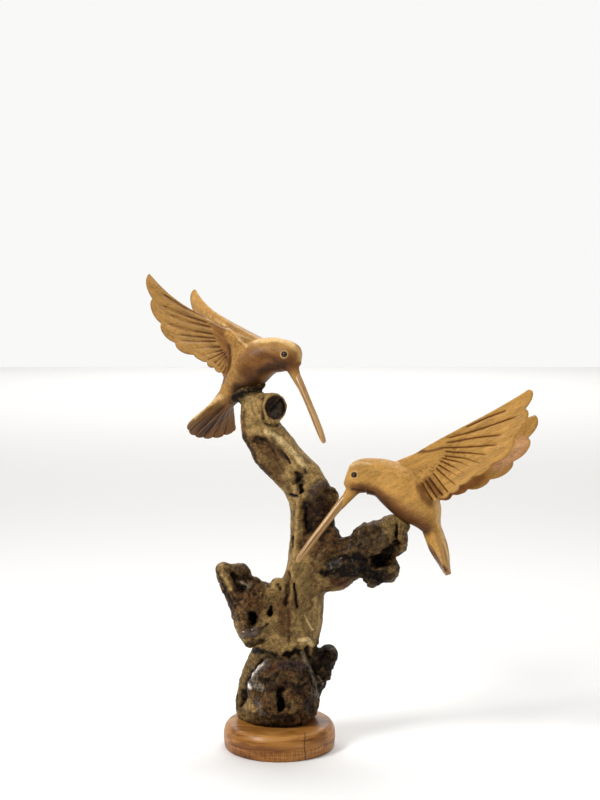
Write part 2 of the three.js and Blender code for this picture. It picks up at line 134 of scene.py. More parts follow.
def nodes_of(material):
    """Turn a material's nodes on. Gives its tree and its shader."""
    material.use_nodes = True
    return material.node_tree, material.node_tree.nodes["Principled BSDF"]


# %% [markdown]
# ## Floor and light
# A photographer's tent is pale paper lit from all round, brightest at its far wall. The floor is one large
# sheet of paper, and the sky is bright only behind the carving, so that the near side keeps its shadows.
# Three soft lamps light the carving. Two more light the far floor, so that it meets the wall in a soft line.

# %% Floor
FLOOR_HALF = 6.0
FLOOR_CORNERS = ((-1, -1), (1, -1), (1, 1), (-1, 1))
paper = bpy.data.materials.new("studio_paper")
fill_inputs(*nodes_of(paper), {"Base Color": colour("#F2F1EF"), "Roughness": 0.9})
floor_mesh = bpy.data.meshes.new("floor")
floor_mesh.from_pydata([(x * FLOOR_HALF, y * FLOOR_HALF, 0) for x, y in FLOOR_CORNERS], [], [(0, 1, 2, 3)])
floor_mesh.materials.append(paper)
floor = bpy.data.objects.new("floor", floor_mesh)
bpy.context.scene.collection.objects.link(floor)

# %% Sky
world = bpy.data.worlds.new("studio")
bpy.context.scene.world = world
world.use_nodes = True
sky = world.node_tree
sky_direction = add_node(sky, "ShaderNodeTexCoord").outputs["Generated"]
sky_parts = add_node(sky, "ShaderNodeSeparateXYZ", inputs={0: sky_direction})
sky_light = add_node(
    sky,
    "ShaderNodeMapRange",
    {"interpolation_type": "SMOOTHSTEP"},
    {"Value": sky_parts.outputs["Y"], "From Min": 0.1, "From Max": 0.8, "To Min": 0.34, "To Max": 0.98},
)
fill_inputs(sky, sky.nodes["Background"], {"Color": colour("#FBFBFA"), "Strength": sky_light.outputs[0]})
bpy.context.scene.view_settings.view_transform = "Standard"


# %% Lamps
def soft_lamp(name, place, size, power, target=(0.02, 0, 0.2)):
    """A square lamp that faces a target, most often the middle of the carving."""
    lamp_data = bpy.data.lights.new(name, "AREA")
    lamp_data.size = size
    lamp_data.energy = power
    lamp = bpy.data.objects.new(name, lamp_data)
    lamp.location = place
    aim = Vector(target) - Vector(place)
    lamp.rotation_euler = aim.to_track_quat("-Z", "Y").to_euler()
    bpy.context.scene.collection.objects.link(lamp)


soft_lamp("key_upper_left", (-0.85, -0.55, 1.1), 0.4, 14)
soft_lamp("fill_right", (1.1, -0.9, 0.6), 0.8, 1.5)
soft_lamp("top_back", (0.3, 0.3, 1.3), 0.6, 6)
soft_lamp("far_floor", (0, 4.0, 2.4), 4.0, 70, (0, 4.0, 0))
soft_lamp("horizon", (0, 5.8, 2.6), 3.0, 17, (0, 5.8, 0))
print("lamps:", len(bpy.data.lights))

# %% [markdown]
# ## Working on a surface with arrays
# Carved wood is one skin, with soft joins between head, wing and tail. It can be sculpted by hand, or joined
# with booleans, which leaves hard seams. Here the shapes are built as closed shells, voxel remeshed into one
# skin, and then carved by moving its points with arrays. That gives soft joins and cuts in exact places.


# %% Meshes in and out of arrays
def to_object(name, points, faces):
    """An object at the origin from points in millimetres."""
    mesh = bpy.data.meshes.new(name)
    mesh.from_pydata((np.asarray(points) * MM).tolist(), [], [list(map(int, face)) for face in faces])
    made = bpy.data.objects.new(name, mesh)
    bpy.context.scene.collection.objects.link(made)
    return made


def with_modifiers_applied(made):
    """Turn what an object's modifiers make into its plain mesh."""
    graph = bpy.context.evaluated_depsgraph_get()
    plain = bpy.data.meshes.new_from_object(made.evaluated_get(graph))
    made.modifiers.clear()
    old = made.data
    made.data = plain
    plain.name = made.name
    bpy.data.meshes.remove(old)
    return made


def voxel_skin(made, voxel):
    """One even skin round everything in the object, with points about voxel mm apart."""
    remesh = made.modifiers.new("skin", "REMESH")
    remesh.mode = "VOXEL"
    remesh.voxel_size = voxel * MM
    return with_modifiers_applied(made)


def vectors_of(mesh, key):
    """One vector for each point of the mesh."""
    flat = np.empty(len(mesh.vertices) * 3, np.float32)
    mesh.vertices.foreach_get(key, flat)
    return flat.reshape(-1, 3).astype(float)


def points_of(mesh):
    """The points' places in mm."""
    return vectors_of(mesh, "co") / MM


def normals_of(mesh):
    """The way the skin faces at each point."""
    return vectors_of(mesh, "normal")


def put_points(mesh, points):
    """Move the mesh's points to new places, given in mm."""
    mesh.vertices.foreach_set("co", (points * MM).astype(np.float32).ravel())
    mesh.update()


def put_attribute(mesh, name, values):
    """Store one number, or one vector, for each point."""
    kind, key = ("FLOAT", "value") if values.ndim == 1 else ("FLOAT_VECTOR", "vector")
    layer = mesh.attributes.new(name, kind, "POINT")
    layer.data.foreach_set(key, values.astype(np.float32).ravel())


def faces_of(mesh):
    """The point numbers round each face."""
    return [list(face.vertices) for face in mesh.polygons]


def triangle_count(mesh):
    """How many triangles the mesh's faces make."""
    return sum(len(face.vertices) - 2 for face in mesh.polygons)


# %% [markdown]
# A voxel skin has small steps, like stairs. Moving every point to the mean of its neighbours takes them out,
# but it also thins fine parts. So each move in is followed by a slightly longer one out, and only the joins
# are smoothed for longer.


# %% Smoothing
def neighbour_pairs(mesh):
    """Every pair of points that share an edge, both ways round."""
    flat = np.empty(len(mesh.edges) * 2, np.int32)
    mesh.edges.foreach_get("vertices", flat)
    pairs = flat.reshape(-1, 2)
    return np.concatenate([pairs, pairs[:, ::-1]])


def relaxed(values, pairs, times, share=0.5):
    """Move every point, or value, towards the mean of its neighbours, several times."""
    values = np.asarray(values, float)
    columns = values.reshape(len(values), -1)
    first, second = pairs.T
    count = np.bincount(first, minlength=len(values))[:, None]
    for _ in range(times):
        sums = [np.bincount(first, column[second], minlength=len(values)) for column in columns.T]
        columns = columns + share * (np.stack(sums, 1) / count - columns)
    return columns.reshape(values.shape)


def evened(points, pairs, times):
    """Take the steps out of a skin without thinning it."""
    for _ in range(times):
        points = relaxed(relaxed(points, pairs, 1, 0.5), pairs, 1, -0.52)
    return points


def hollow_at(mesh, points, pairs, times):
    """How far each point lies below the mean of the skin round it, in mm. A ridge is below zero."""
    return np.einsum("ij,ij->i", relaxed(points, pairs, times) - points, normals_of(mesh))


# %% [markdown]
# Three small measures are used again and again: a soft step between two values, a soft ball round a place,
# and the distance from a line between two places.


# %% Soft measures
def step(value, low, high):
    """0 below low and 1 above high, with a smooth rise between."""
    share = np.clip((value - low) / (high - low), 0, 1)
    return share * share * (3 - 2 * share)


def near_to(points, middle, reach):
    """1 near a place, with a soft fall to 0 at about the reach."""
    return np.exp(-((np.linalg.norm(points - middle, axis=1) / reach) ** 4))


def from_line(points, start, end):
    """The distance of each point from a straight line, and how far along the line that is, from 0 to 1."""
    run = end - start
    share = np.clip(((points - start) @ run) / max(run @ run, 1e-9), 0, 1)
    return np.linalg.norm(points - start - share[:, None] * run, axis=1), share


# %% [markdown]
# Wood is uneven, so the script needs noise that it can add to points. Blender's own noise works on one point
# at a time. This one works on all the points at once: each corner of a grid has a random slope, and a point
# blends the slopes of the eight corners round it.

# %% Noise on arrays
SLOPE_COUNT = 4096
CORNER_MIX = (73856093, 19349663, 83492791)
SEED_MIX = 2654435
SEED_SHIFT = 17.31
NOISE_GAIN = 1.8
STREAK_GAIN = 1.7
STREAK_SAMPLES = 7
slopes = np.random.default_rng(11).normal(size=(SLOPE_COUNT, 3))
slopes /= np.linalg.norm(slopes, axis=1, keepdims=True)


def noise(points, size, seed=0):
    """Soft random values from about -1 to 1, with lumps about size mm across."""
    place = points / size + seed * SEED_SHIFT
    cell = np.floor(place).astype(np.int64)
    inside = place - cell
    ease = inside**3 * (inside * (6 * inside - 15) + 10)
    total = np.zeros(len(points))
    for corner in product((0, 1), repeat=3):
        x, y, z = ((cell + corner) * CORNER_MIX).T
        pick = (x ^ y ^ z ^ seed * SEED_MIX) % SLOPE_COUNT
        weight = np.prod(np.where(np.array(corner) == 1, ease, 1 - ease), axis=1)
        total += weight * np.einsum("ij,ij->i", slopes[pick], inside - corner)
    return total * NOISE_GAIN


def streaks(points, direction, size, length, seed):
    """Noise drawn out along a direction that may differ at every point, as wood fibre is."""
    shares = np.linspace(-0.5, 0.5, STREAK_SAMPLES)
    total = sum(noise(points + direction * length * s, size, seed) for s in shares)
    return total / STREAK_SAMPLES * STREAK_GAIN


test_places = np.indices((9, 9, 9)).reshape(3, -1).T / 3
print("strongest noise on a small grid:", round(float(np.abs(noise(test_places, 1)).max()), 2))

# %% [markdown]
# ## Tones and strokes
# Many marks on this carving are seen only in the photograph. Such a mark is drawn as a stroke through a few
# pixels, with a width. A ray from the camera finds how far away the wood is there, so the stroke stays on
# that surface, and doesn't touch what lies behind it. The same stroke presses the wood and colours it. The
# colours are named tones, as in a row of jars, and each is laid over what is already there. Most strokes
# are stains, and some are painted shade or painted highlights.

# %% Tones
TONES = {
    "pale": "#D2B680",
    "tan": "#9C7F4E",
    "gold": "#997139",
    "olive": "#715B36",
    "brown": "#5A3F24",
    "umber": "#40301E",
    "red-brown": "#4C2C1B",
    "dark": "#24150C",
    "black": "#0B0605",
    "grey": "#736857",
    "purple-grey": "#392B28",
    # a painted highlight, for the bright reflection on the bulb's shoulder
    "painted highlight": "#D9CFC4",
    "bird pale": "#DDB679",
    "bird gold": "#BF904B",
    "bird tan": "#A67D42",
    "bird brown": "#7F5429",
    "bird dark": "#593517",
    "bird umber": "#3C2410",
    # the far wing's painted shade, and its painted warm reflected light
    "bird red": "#93602F",
    "bird rose": "#D8A678",
}


def coat_of(tone, count):
    """Paint of one tone on every point."""
    return np.tile(colour(TONES[tone])[:3], (count, 1))


def lay(paint, tone, weight):
    """Lay a named tone over the paint, as strongly as the weight says at each point."""
    paint += weight[:, None] * (np.array(colour(TONES[tone])[:3]) - paint)


print(len(TONES), "tones")


# %% A brush for strokes drawn on the photograph
BRUSH_CORE, BRUSH_EDGE = 0.2, 1.3


def surface_tree(mesh, points):
    """A tree that rays can be sent against."""
    return BVHTree.FromPolygons(points.tolist(), faces_of(mesh))


def wood_under(tree, pixel_x, pixel_y):
    """The place on the wood under a pixel of the photograph, or None where there is no wood."""
    return tree.ray_cast(Vector(CAMERA_PLACE), Vector(ray_through(pixel_x, pixel_y)))[0]


def touched(tree, pixels, ahead, stops, half_width, thick):
    """How strongly a stroke through pixels of the photograph touches each point, from 0 to 1."""
    depths = []
    for stop in stops:
        spot = wood_under(tree, *stop)
        depths.append(None if spot is None else seen(np.array(spot))[1][0])
    found = [depth for depth in depths if depth is not None]
    if not found:
        print("no wood under", stops)
        return np.zeros(len(pixels))
    depths = [np.mean(found) if depth is None else depth for depth in depths]
    if len(stops) == 1:
        stops, depths = [*stops, *stops], [*depths, *depths]
    ends = np.array(stops, float)
    touch = np.zeros(len(pixels))
    for a, b, near, far in zip(ends[:-1], ends[1:], depths[:-1], depths[1:]):
        off, share = from_line(pixels, a, b)
        behind = np.abs(ahead - near - share * (far - near))
        on_stroke = 1 - step(off / half_width, BRUSH_CORE, BRUSH_EDGE)
        touch = np.maximum(touch, on_stroke * (1 - step(behind, thick, 1.5 * thick)))
    return touch


# %% [markdown]
# A brush in a hand doesn't draw a ruled line. Broad strokes wander by a few pixels, and on the weathered root
# they also have gaps. The wood is pressed half along the view and half against the way it faces, so that a
# stroke near an edge doesn't cut right through the limb.


# %% Press and stain
STROKE_STRENGTH = 0.95
WANDER_SIZE = 5
GAP_SIZE = 2.5


def worked(tree, points, normals, paint, strokes, thick, wander, gaps):
    """Press every stroke and lay its tone, stains, painted shade and painted highlights alike. A depth below
    zero raises the wood. Gives the points' new places.
    """
    pixels, ahead = seen(points)
    drift = wander * np.stack([noise(points, WANDER_SIZE, 31), noise(points, WANDER_SIZE, 32)], 1)
    broken = 1 - gaps * step(noise(points, GAP_SIZE, 33), 0, 0.5)
    shift = np.zeros_like(points)
    for _, tone, half_width, depth, stops in strokes:
        touch = touched(tree, pixels + min(1, half_width / 4) * drift, ahead, stops, half_width, thick)
        inward = ray_through(*np.mean(stops, axis=0)) - normals
        inward /= np.maximum(np.linalg.norm(inward, axis=1, keepdims=True), 0.2)
        shift += (depth * touch)[:, None] * inward
        lay(paint, tone, STROKE_STRENGTH * touch * broken)
    return points + shift


# %% [markdown]
# ## The birds' shapes
# A carver saws a bird's outline from a block, then rounds it. The same drawing is used here: rings along the
# body, a fan of feathers for each wing, and a smaller fan for the tail. Each bird keeps its own drawing, in
# its own frame, with x forwards, y to its left and z up.
#
# A station of the body is how far forward and how high its middle lies, then half its height and half its
# width, all in mm. The wings are named by their side, 1 for the left, and their angles are how far they
# rise, splay and cant. A feather is the angle and the reach of its tip, seen from the wrist. A cut is a bent
# line on the flat of the wing: where it starts, bends and ends. The valley is how deep the feathers are
# rounded beside a cut, and the hook is how far the wing's tip bends forwards.

# %% Sizes that both birds share
EYE_BEAD_RADIUS = 1.7
EYE_RING_RADIUS = 2.75
FEATHER_COUNT = 8
TAIL_FEATHER_COUNT = 6
WING_HOLLOW = 2.5
TIP_TURN = 5

# %% The lower bird's drawing
lower_bird = {
    "name": "lower_bird",
    "size": 0.955,
    "place": (100.8, -22, 210.7),
    "turn": (12, 0, 177),
    "near_side": 1,
    "stations": [
        (51.0, 5.6, 1.8, 2.2), (46.5, 8.0, 7.4, 7.4), (42.0, 10.3, 12.0, 10.8),
        (36.0, 13.3, 14.8, 12.4), (28.0, 13.5, 15.4, 12.8), (19.0, 11.8, 16.5, 14.4),
        (8.6, 6.4, 19.3, 17.0), (-2.0, -1.2, 20.6, 18.0), (-9.8, -9.2, 18.6, 16.8),
        (-15.6, -17.4, 15.4, 14.0), (-20.0, -26.0, 9.6, 10.8), (-23.4, -33.5, 6.2, 8.0),
        (-26.5, -42.0, 3.2, 5.0),
    ],
    "bill": {"root": (39.9, 7.7), "drop": 52.6, "length": 79},
    "wrist": (-16.9, 7, 33.4),
    "hook": 3.4,
    "wings": {
        1: {
            "angles": (27, 12, 14), "root": (-37.3, 0.4), "arm": (19, -8), "leading_tip": (99.3, -6.4),
            "feathers": [
                (1.4, 99.5), (11.5, 86.5), (30, 67), (48.5, 50), (66, 42), (82, 41.5), (96.5, 42.5),
                (110, 42.5),
            ],
        },
        -1: {
            "angles": (17, 3, 2), "root": (-37.3, 0.4), "arm": (19, -8), "leading_tip": (101.2, -8.5),
            "feathers": [
                (2.9, 98.8), (14.8, 86.5), (29.8, 69.5), (48.5, 53.5), (66, 44.5), (82, 43), (96.5, 43),
                (110, 43),
            ],
        },
    },
    "cuts": [
        (39, -3, 58, -2, 78, 1), (20, -2, 50, 4, 86, 10), (18, 1, 41, 8, 65, 18),
        (13, 3, 34, 13, 58, 24), (14, 7, 29, 16, 45, 27), (12, 10, 25, 19, 36, 31),
        (9, 10.5, 20, 20, 27, 30), (7, 12, 14, 22, 21, 34), (4, 15, 9, 23.5, 15, 33),
        (1, 17, 4, 26, 9, 38), (-3.5, 19.5, -2, 29, 0, 41), (-8, 22, -7, 31, -5, 41),
        (-11.5, 23, -11, 32, -10, 41), (-15, 24, -15, 32, -14.5, 41),
    ],
    "tail": {
        "hub": (-17.5, -19.2), "slant": 20, "spread": 33, "reach": 51, "curl": -3, "bulk": 6.8,
        "taper": (0.45, 1.15),
    },
    "eye": (43, 14),
    "valley": 0.8,
    "ground": "bird gold",
    # the tone of the painted shade on the faces that look down
    "under": "bird brown",
    "shade_from": 0.0,
    "punched": [(416, 474), (430, 470), (446, 462), (452, 452)],
}
print("lower bird:", len(lower_bird["stations"]), "stations,", len(lower_bird["cuts"]), "cuts in each wing")

# %% The upper bird's drawing
upper_bird = {
    "name": "upper_bird",
    "size": 0.9,
    "place": (-20.3, 5, 308.8),
    "turn": (-9.4, 1.7, -38.5),
    "near_side": -1,
    "stations": [
        (51.0, 6.5, 2.4, 2.6), (46.5, 7.9, 7.4, 7.6), (42.0, 10.0, 12.4, 11.1),
        (36.0, 12.6, 13.6, 12.4), (28.0, 12.6, 15.0, 12.8), (19.0, 12.0, 16.3, 13.9),
        (8.6, 8.6, 18.2, 17.0), (-2.0, 2.2, 20.4, 18.0), (-9.8, -6.2, 18.2, 16.8),
        (-17.0, -14.6, 15.2, 14.0), (-22.2, -23.2, 11.2, 11.4), (-27.0, -31.5, 8.6, 9.4),
        (-30.6, -40.0, 4.4, 6.0),
    ],
    "bill": {"root": (40.1, 7.6), "drop": 54.1, "length": 74.6},
    "wrist": (-26.4, 7, 33.9),
    "hook": 6.5,
    "wings": {
        1: {
            "angles": (20, 14, 8), "root": (-38.3, -4.5), "arm": (15, 0), "leading_tip": (102.5, -5.5),
            "feathers": [
                (6, 108.8), (16.5, 92), (31, 76), (48, 60), (69, 46), (84, 44), (98, 44), (110, 45),
            ],
        },
        -1: {
            "angles": (22, 10.3, 3), "root": (-38.3, -3), "arm": (15, 9), "leading_tip": (105, -6.5),
            "feathers": [
                (5.2, 101.8), (17.1, 88.3), (31, 73), (48, 58), (69, 44), (84, 42.5), (98, 43),
                (110, 45),
            ],
        },
    },
    "cuts": [
        (27, 4, 54, 5, 86, 3.5), (24, 7, 50, 11.5, 81, 14), (19, 9, 42, 14.5, 68, 18.5),
        (14, 13.5, 41, 22, 67, 27), (11, 16, 31, 24, 50, 31), (9, 18, 28, 27.5, 47, 36),
        (3, 21, 16.5, 28, 29, 35.5), (0, 23, 9, 30, 18, 38), (-2, 24.5, 4.5, 32, 10, 38),
        (-4.5, 25, -2, 31, 1.5, 37.5), (-7.5, 27, -6, 32, -4, 38), (-9.5, 29, -9.5, 34, -9, 39),
        (-12, 32, -13, 36, -12.5, 41),
    ],
    "tail": {
        "hub": (-23.4, -19.7), "slant": 30, "spread": 38.8, "reach": 56.3, "curl": -4, "bulk": 8.1,
        "taper": (0.15, 0.95),
    },
    "eye": (41.6, 12.8),
    "valley": 1.35,
    "ground": "bird tan",
    # the tone of the painted shade on the faces that look down
    "under": "bird dark",
    "shade_from": -0.3,
    "punched": [(208, 318), (222, 328), (238, 342), (238, 358), (233, 372), (228, 388)],
}
print("upper bird:", len(upper_bird["stations"]), "stations,", len(upper_bird["cuts"]), "cuts in each wing")

# %% [markdown]
# The rest of each drawing is strokes on the photograph. The first number after the tone is half the stroke's
# width in pixels. The second is how deep it presses, in mm. Then come the pixels that it runs through.

# %% Strokes on the lower bird
lower_bird["strokes"] = [
    # painted shade in the crease before the wing
    ("crease before the wing", "bird brown", 1.6, 0.4, [(419, 452), (430, 451), (442, 448)]),
    # painted highlight on the crown
    ("crown", "bird pale", 2, 0, [(352, 465), (360, 463), (370, 464)]),
    # painted shade in the crease and under the cheek
    ("crease under the cheek", "bird brown", 0.8, 0.15, [(349, 488), (354, 486)]),
    ("shade under the cheek", "bird brown", 6, 0, [(354, 488), (367, 489), (380, 496)]),
    # painted highlight on the flank behind the wing
    ("cream flank behind the wing", "bird pale", 3.5, 0, [(437, 502), (439, 512), (438, 521)]),
    # painted shade on the underside, and the wood's own grain lines on the belly
    ("brown underside", "bird brown", 12, 0, [(368, 494), (385, 502), (400, 514), (425, 526)]),
    ("dark underside", "bird dark", 7, 0, [(362, 490), (385, 503), (400, 517), (425, 530)]),
    ("belly grain", "bird umber", 1.6, 0, [(352, 489), (372, 492), (388, 507), (402, 522), (424, 532)]),
    # painted shade at the root of the wing
    ("shade under the wing's root", "bird brown", 5, 0.2, [(420, 487), (424, 496), (430, 503)]),
    ("brown root of the wing", "bird brown", 7, 0, [(428, 482), (438, 492)]),
    # painted warm reflected light on the far wing's outer feathers, and painted shade on its inner ones
    ("far wing's outer feathers", "bird rose", 8, 0, [(523, 443), (514, 454), (498, 466)]),
    ("far wing's inner feathers", "bird red", 6, 0, [(482, 478), (465, 487), (448, 497)]),
    # painted shade on the tail's lower edge, and a painted highlight on its bright strip
    ("tail's lower edge", "bird dark", 2.6, 0, [(421, 536), (432, 552), (445, 570)]),
    ("tail's bright strip", "bird pale", 2.2, -0.3, [(438, 522), (444, 542), (449, 558)]),
]

# %% Strokes on the upper bird
upper_bird["strokes"] = [
    # painted shade in the scoop and along the edge of the flank
    ("scoop between wing and arm", "bird brown", 7, 1.4, [(217, 325), (222, 340), (227, 356), (228, 366)]),
    ("edge of the flank", "bird dark", 2.5, 1.0, [(228, 346), (229, 358), (227, 370), (223, 382)]),
    # painted highlights on the arm's crest, the shoulder and the flank
    ("arm's crest", "bird pale", 1.9, -1.2, [(209, 315), (222, 323), (232, 332), (240, 340), (247, 347)]),
    ("shoulder and flank", "bird tan", 6, -0.6, [(241, 346), (237, 358), (233, 370), (228, 385), (224, 394)]),
    # painted highlight on the crown
    ("crown", "bird pale", 3, 0, [(256, 342), (266, 340), (278, 339), (290, 343), (298, 351), (301, 360)]),
    # painted shade on the side of the head, the cheek, the breast, the throat and the belly
    ("side of the head", "bird brown", 13, 0, [(256, 356), (276, 358), (290, 362)]),
    ("cheek", "bird dark", 9, 0, [(260, 359), (276, 362), (288, 365)]),
    ("breast", "bird brown", 15, 0, [(248, 362), (256, 370), (266, 370)]),
    ("throat", "bird umber", 6, 0, [(260, 372), (270, 367), (282, 366)]),
    ("reddish belly", "bird dark", 9, 0, [(246, 372), (252, 379)]),
    ("dark belly", "bird umber", 8, 0, [(238, 388), (248, 388), (256, 383)]),
    ("lip over the perch", "bird pale", 1.2, -0.5, [(233, 398), (245, 391), (255, 387), (260, 385)]),
    # painted shade on the underside of the tail and in its fan
    ("underside of the tail", "bird dark", 13, 0, [(204, 428), (214, 420), (228, 412)]),
    ("shade in the tail's fan", "bird umber", 11, 0, [(206, 428), (214, 422), (225, 413)]),
    # painted highlight on the tail's top edge
    ("tail's bright band", "bird pale", 3.4, -0.3, [(194, 417), (205, 406), (221, 397)]),
    ("far wing", "bird gold", 8, 0, [(196, 296), (212, 314), (232, 334)]),
    ("tail rib 1", "bird brown", 0.9, -0.4, [(229, 404), (197, 434)]),
    ("tail rib 2", "bird brown", 0.9, -0.4, [(229, 404), (207, 437)]),
    ("tail rib 3", "bird brown", 0.9, -0.4, [(230, 404), (217, 437)]),
    ("tail rib 4", "bird brown", 0.9, -0.4, [(231, 404), (226, 433)]),
]

# %% [markdown]
# A shell is a closed surface made of rows of points. Three kinds are enough here: one through rings, for what
# is round, one between two grids, for what is flat, and a ball. Smooth curves through a few stops keep the
# drawings short.


# %% Curves and shells
def smooth_curve(stops, shares):
    """Places on a smooth curve through the stops, where the shares run from 0 to 1."""
    stops = np.asarray(stops, float)
    last = len(stops) - 1
    along = np.asarray(shares, float) * last
    start = np.minimum(along.astype(int), last - 1)
    t = (along - start)[:, None]
    before, a, b, after = (stops[np.clip(start + k, 0, last)] for k in (-1, 0, 1, 2))
    bend = (2 * before - 5 * a + 4 * b - after) * t**2 + (3 * a - before - 3 * b + after) * t**3
    return 0.5 * (2 * a + (b - before) * t + bend)


def three_stop_curve(stops, shares):
    """Places on a curve that leaves the first stop, leans to the second and ends at the third."""
    first, middle, last = (np.asarray(s, float) for s in stops)
    t = np.asarray(shares, float)[:, None]
    return (1 - t) ** 2 * first + 2 * t * (1 - t) * middle + t**2 * last


def rows_joined(index, closed):
    """Quads between the rows of a grid of point numbers."""
    right = np.roll(index, -1, axis=1) if closed else index[:, 1:]
    left = index if closed else index[:, :-1]
    return np.stack([left[:-1], right[:-1], right[1:], left[1:]], -1).reshape(-1, 4).tolist()


def skin_over_rings(rings):
    """A closed shell through rings of points."""
    count, sides = rings.shape[:2]
    index = np.arange(count * sides).reshape(count, sides)
    points = np.concatenate([rings.reshape(-1, 3), [rings[0].mean(0), rings[-1].mean(0)]])
    first, last = len(points) - 2, len(points) - 1
    faces = rows_joined(index, True)
    faces += [(first, index[0, (i + 1) % sides], index[0, i]) for i in range(sides)]
    faces += [(last, index[-1, i], index[-1, (i + 1) % sides]) for i in range(sides)]
    return points, faces


def skin_between(front, back):
    """A closed shell between two grids of points."""
    rows, columns = front.shape[:2]
    index = np.arange(rows * columns).reshape(rows, columns)
    behind = index + rows * columns
    border = [*index[0], *index[1:, -1], *index[-1, -2::-1], *index[-2:0:-1, 0]]
    faces = rows_joined(index, False) + [face[::-1] for face in rows_joined(behind, False)]
    for i, start in enumerate(border):
        end = border[(i + 1) % len(border)]
        faces.append((end, start, start + rows * columns, end + rows * columns))
    return np.concatenate([front.reshape(-1, 3), back.reshape(-1, 3)]), faces


def together(shells):
    """Several shells as one list of points and one of faces."""
    points, faces = [], []
    count = 0
    for shell_points, shell_faces in shells:
        points.append(shell_points)
        faces += [[corner + count for corner in face] for face in shell_faces]
        count += len(shell_points)
    return np.concatenate(points), faces


# %% Rings and balls
POLE_GAP = 0.06
BALL_SIDES, BALL_ROWS = 40, 22


def round_angles(sides):
    """Even angles once round a ring."""
    return np.linspace(0, 2 * np.pi, sides, endpoint=False)


def ring_points(radius, angle, side, up):
    """Points at a radius and an angle in the plane of two directions."""
    return (radius * np.cos(angle))[..., None] * side + (radius * np.sin(angle))[..., None] * up


def ball(place, radius):
    """A closed round shell."""
    around = round_angles(BALL_SIDES)
    up = np.linspace(-np.pi / 2 + POLE_GAP, np.pi / 2 - POLE_GAP, BALL_ROWS)[:, None]
    rings = np.stack([np.cos(up) * np.cos(around), np.cos(up) * np.sin(around), np.sin(up) + 0 * around], -1)
    return skin_over_rings(np.array(place) + radius * rings)


# %% [markdown]
# The head and body are one bent line with ovals round it. The face narrows round the root of the bill, so a
# second shell, shaped like a funnel, is set into the first.


# %% Body and face shells
BODY_ROWS, BODY_SIDES, FUNNEL_SIDES = 73, 56, 48
FUNNEL_REACH = np.array([-6, 0, 4, 7, 10, 13, 16, 19, 22, 25])
FUNNEL_RADIUS = np.array([6.2, 6.4, 6.2, 5.7, 5.1, 4.55, 4.1, 3.7, 3.35, 2.9])


def body_shell(bird):
    """The head and body: ovals along a bent line from the face to the root of the tail."""
    stations = smooth_curve(bird["stations"], np.linspace(0, 1, BODY_ROWS))
    spine = stations[:, :2]
    heading = np.gradient(spine, axis=0)
    heading /= np.linalg.norm(heading, axis=1, keepdims=True)
    angle = round_angles(BODY_SIDES)
    tall = stations[:, 2:3] * np.cos(angle)
    wide = stations[:, 3:4] * np.sin(angle)
    x = spine[:, :1] + heading[:, 1:] * tall
    z = spine[:, 1:] - heading[:, :1] * tall
    return skin_over_rings(np.stack([x, wide, z], -1))


def bill_axes(bird):
    """Where the bill leaves the face, and the directions along it and up from it."""
    drop = math.radians(bird["bill"]["drop"])
    start = np.array([bird["bill"]["root"][0], 0, bird["bill"]["root"][1]])
    along = np.array([math.cos(drop), 0, -math.sin(drop)])
    above = np.array([math.sin(drop), 0, math.cos(drop)])
    return start, along, above


def face_funnel(bird):
    """The face narrows round the root of the bill like a funnel."""
    start, along, above = bill_axes(bird)
    angle = round_angles(FUNNEL_SIDES)
    rings = ring_points(FUNNEL_RADIUS[:, None], angle, above, np.cross(along, above))
    return skin_over_rings(start + FUNNEL_REACH[:, None, None] * along + rings)


# %% [markdown]
# A wing is a thin blade between two grids of points. Its feathers' tips lie on a curve, with a scallop
# between each two. The blade is thick where it leaves the body, thin at the tips, and rounded at its rim.


# %% Wing shell
WING_ROWS, FEATHER_COLUMNS = 120, 24
BODY_HALF, TIP_HALF = 5.6, 1.05
EDGE_HALF = 0.9
SCALLOP = 0.06
LAST_TIP = (-20, 34)
SHOULDER_BEND, SHOULDER_END = (-28, 17), (-22, 28)
ARM_BEND, ARM_END = (14, 12), (-9, 24)


def wing_axes(bird, side):
    """The wing's place and directions: along its span, to its hind edge, and out of its inner face."""
    rise, splay, cant = (math.radians(a) for a in bird["wings"][side]["angles"])
    span = np.array(
        [-math.cos(rise) * math.cos(splay), side * math.sin(splay), math.sin(rise) * math.cos(splay)]
    )
    chord = np.array(
        [-math.sin(rise) * math.cos(cant), side * math.sin(cant), -math.cos(rise) * math.cos(cant)]
    )
    bodyward = side * np.cross(span, chord)
    bodyward /= np.linalg.norm(bodyward)
    wrist = np.array(bird["wrist"], float) * (1, side, 1)
    return wrist, span, chord, bodyward


def from_quill(share, count):
    """How far a share of a fan lies from the nearest feather's quill, 0 on it and 1 between two."""
    return np.abs(2 * ((share * count) % 1) - 1)


def wing_bend(flat_x, hollow):
    """How far the blade's middle lies towards the body. The tips turn away from it."""
    return hollow - TIP_TURN * (flat_x / 100) ** 2


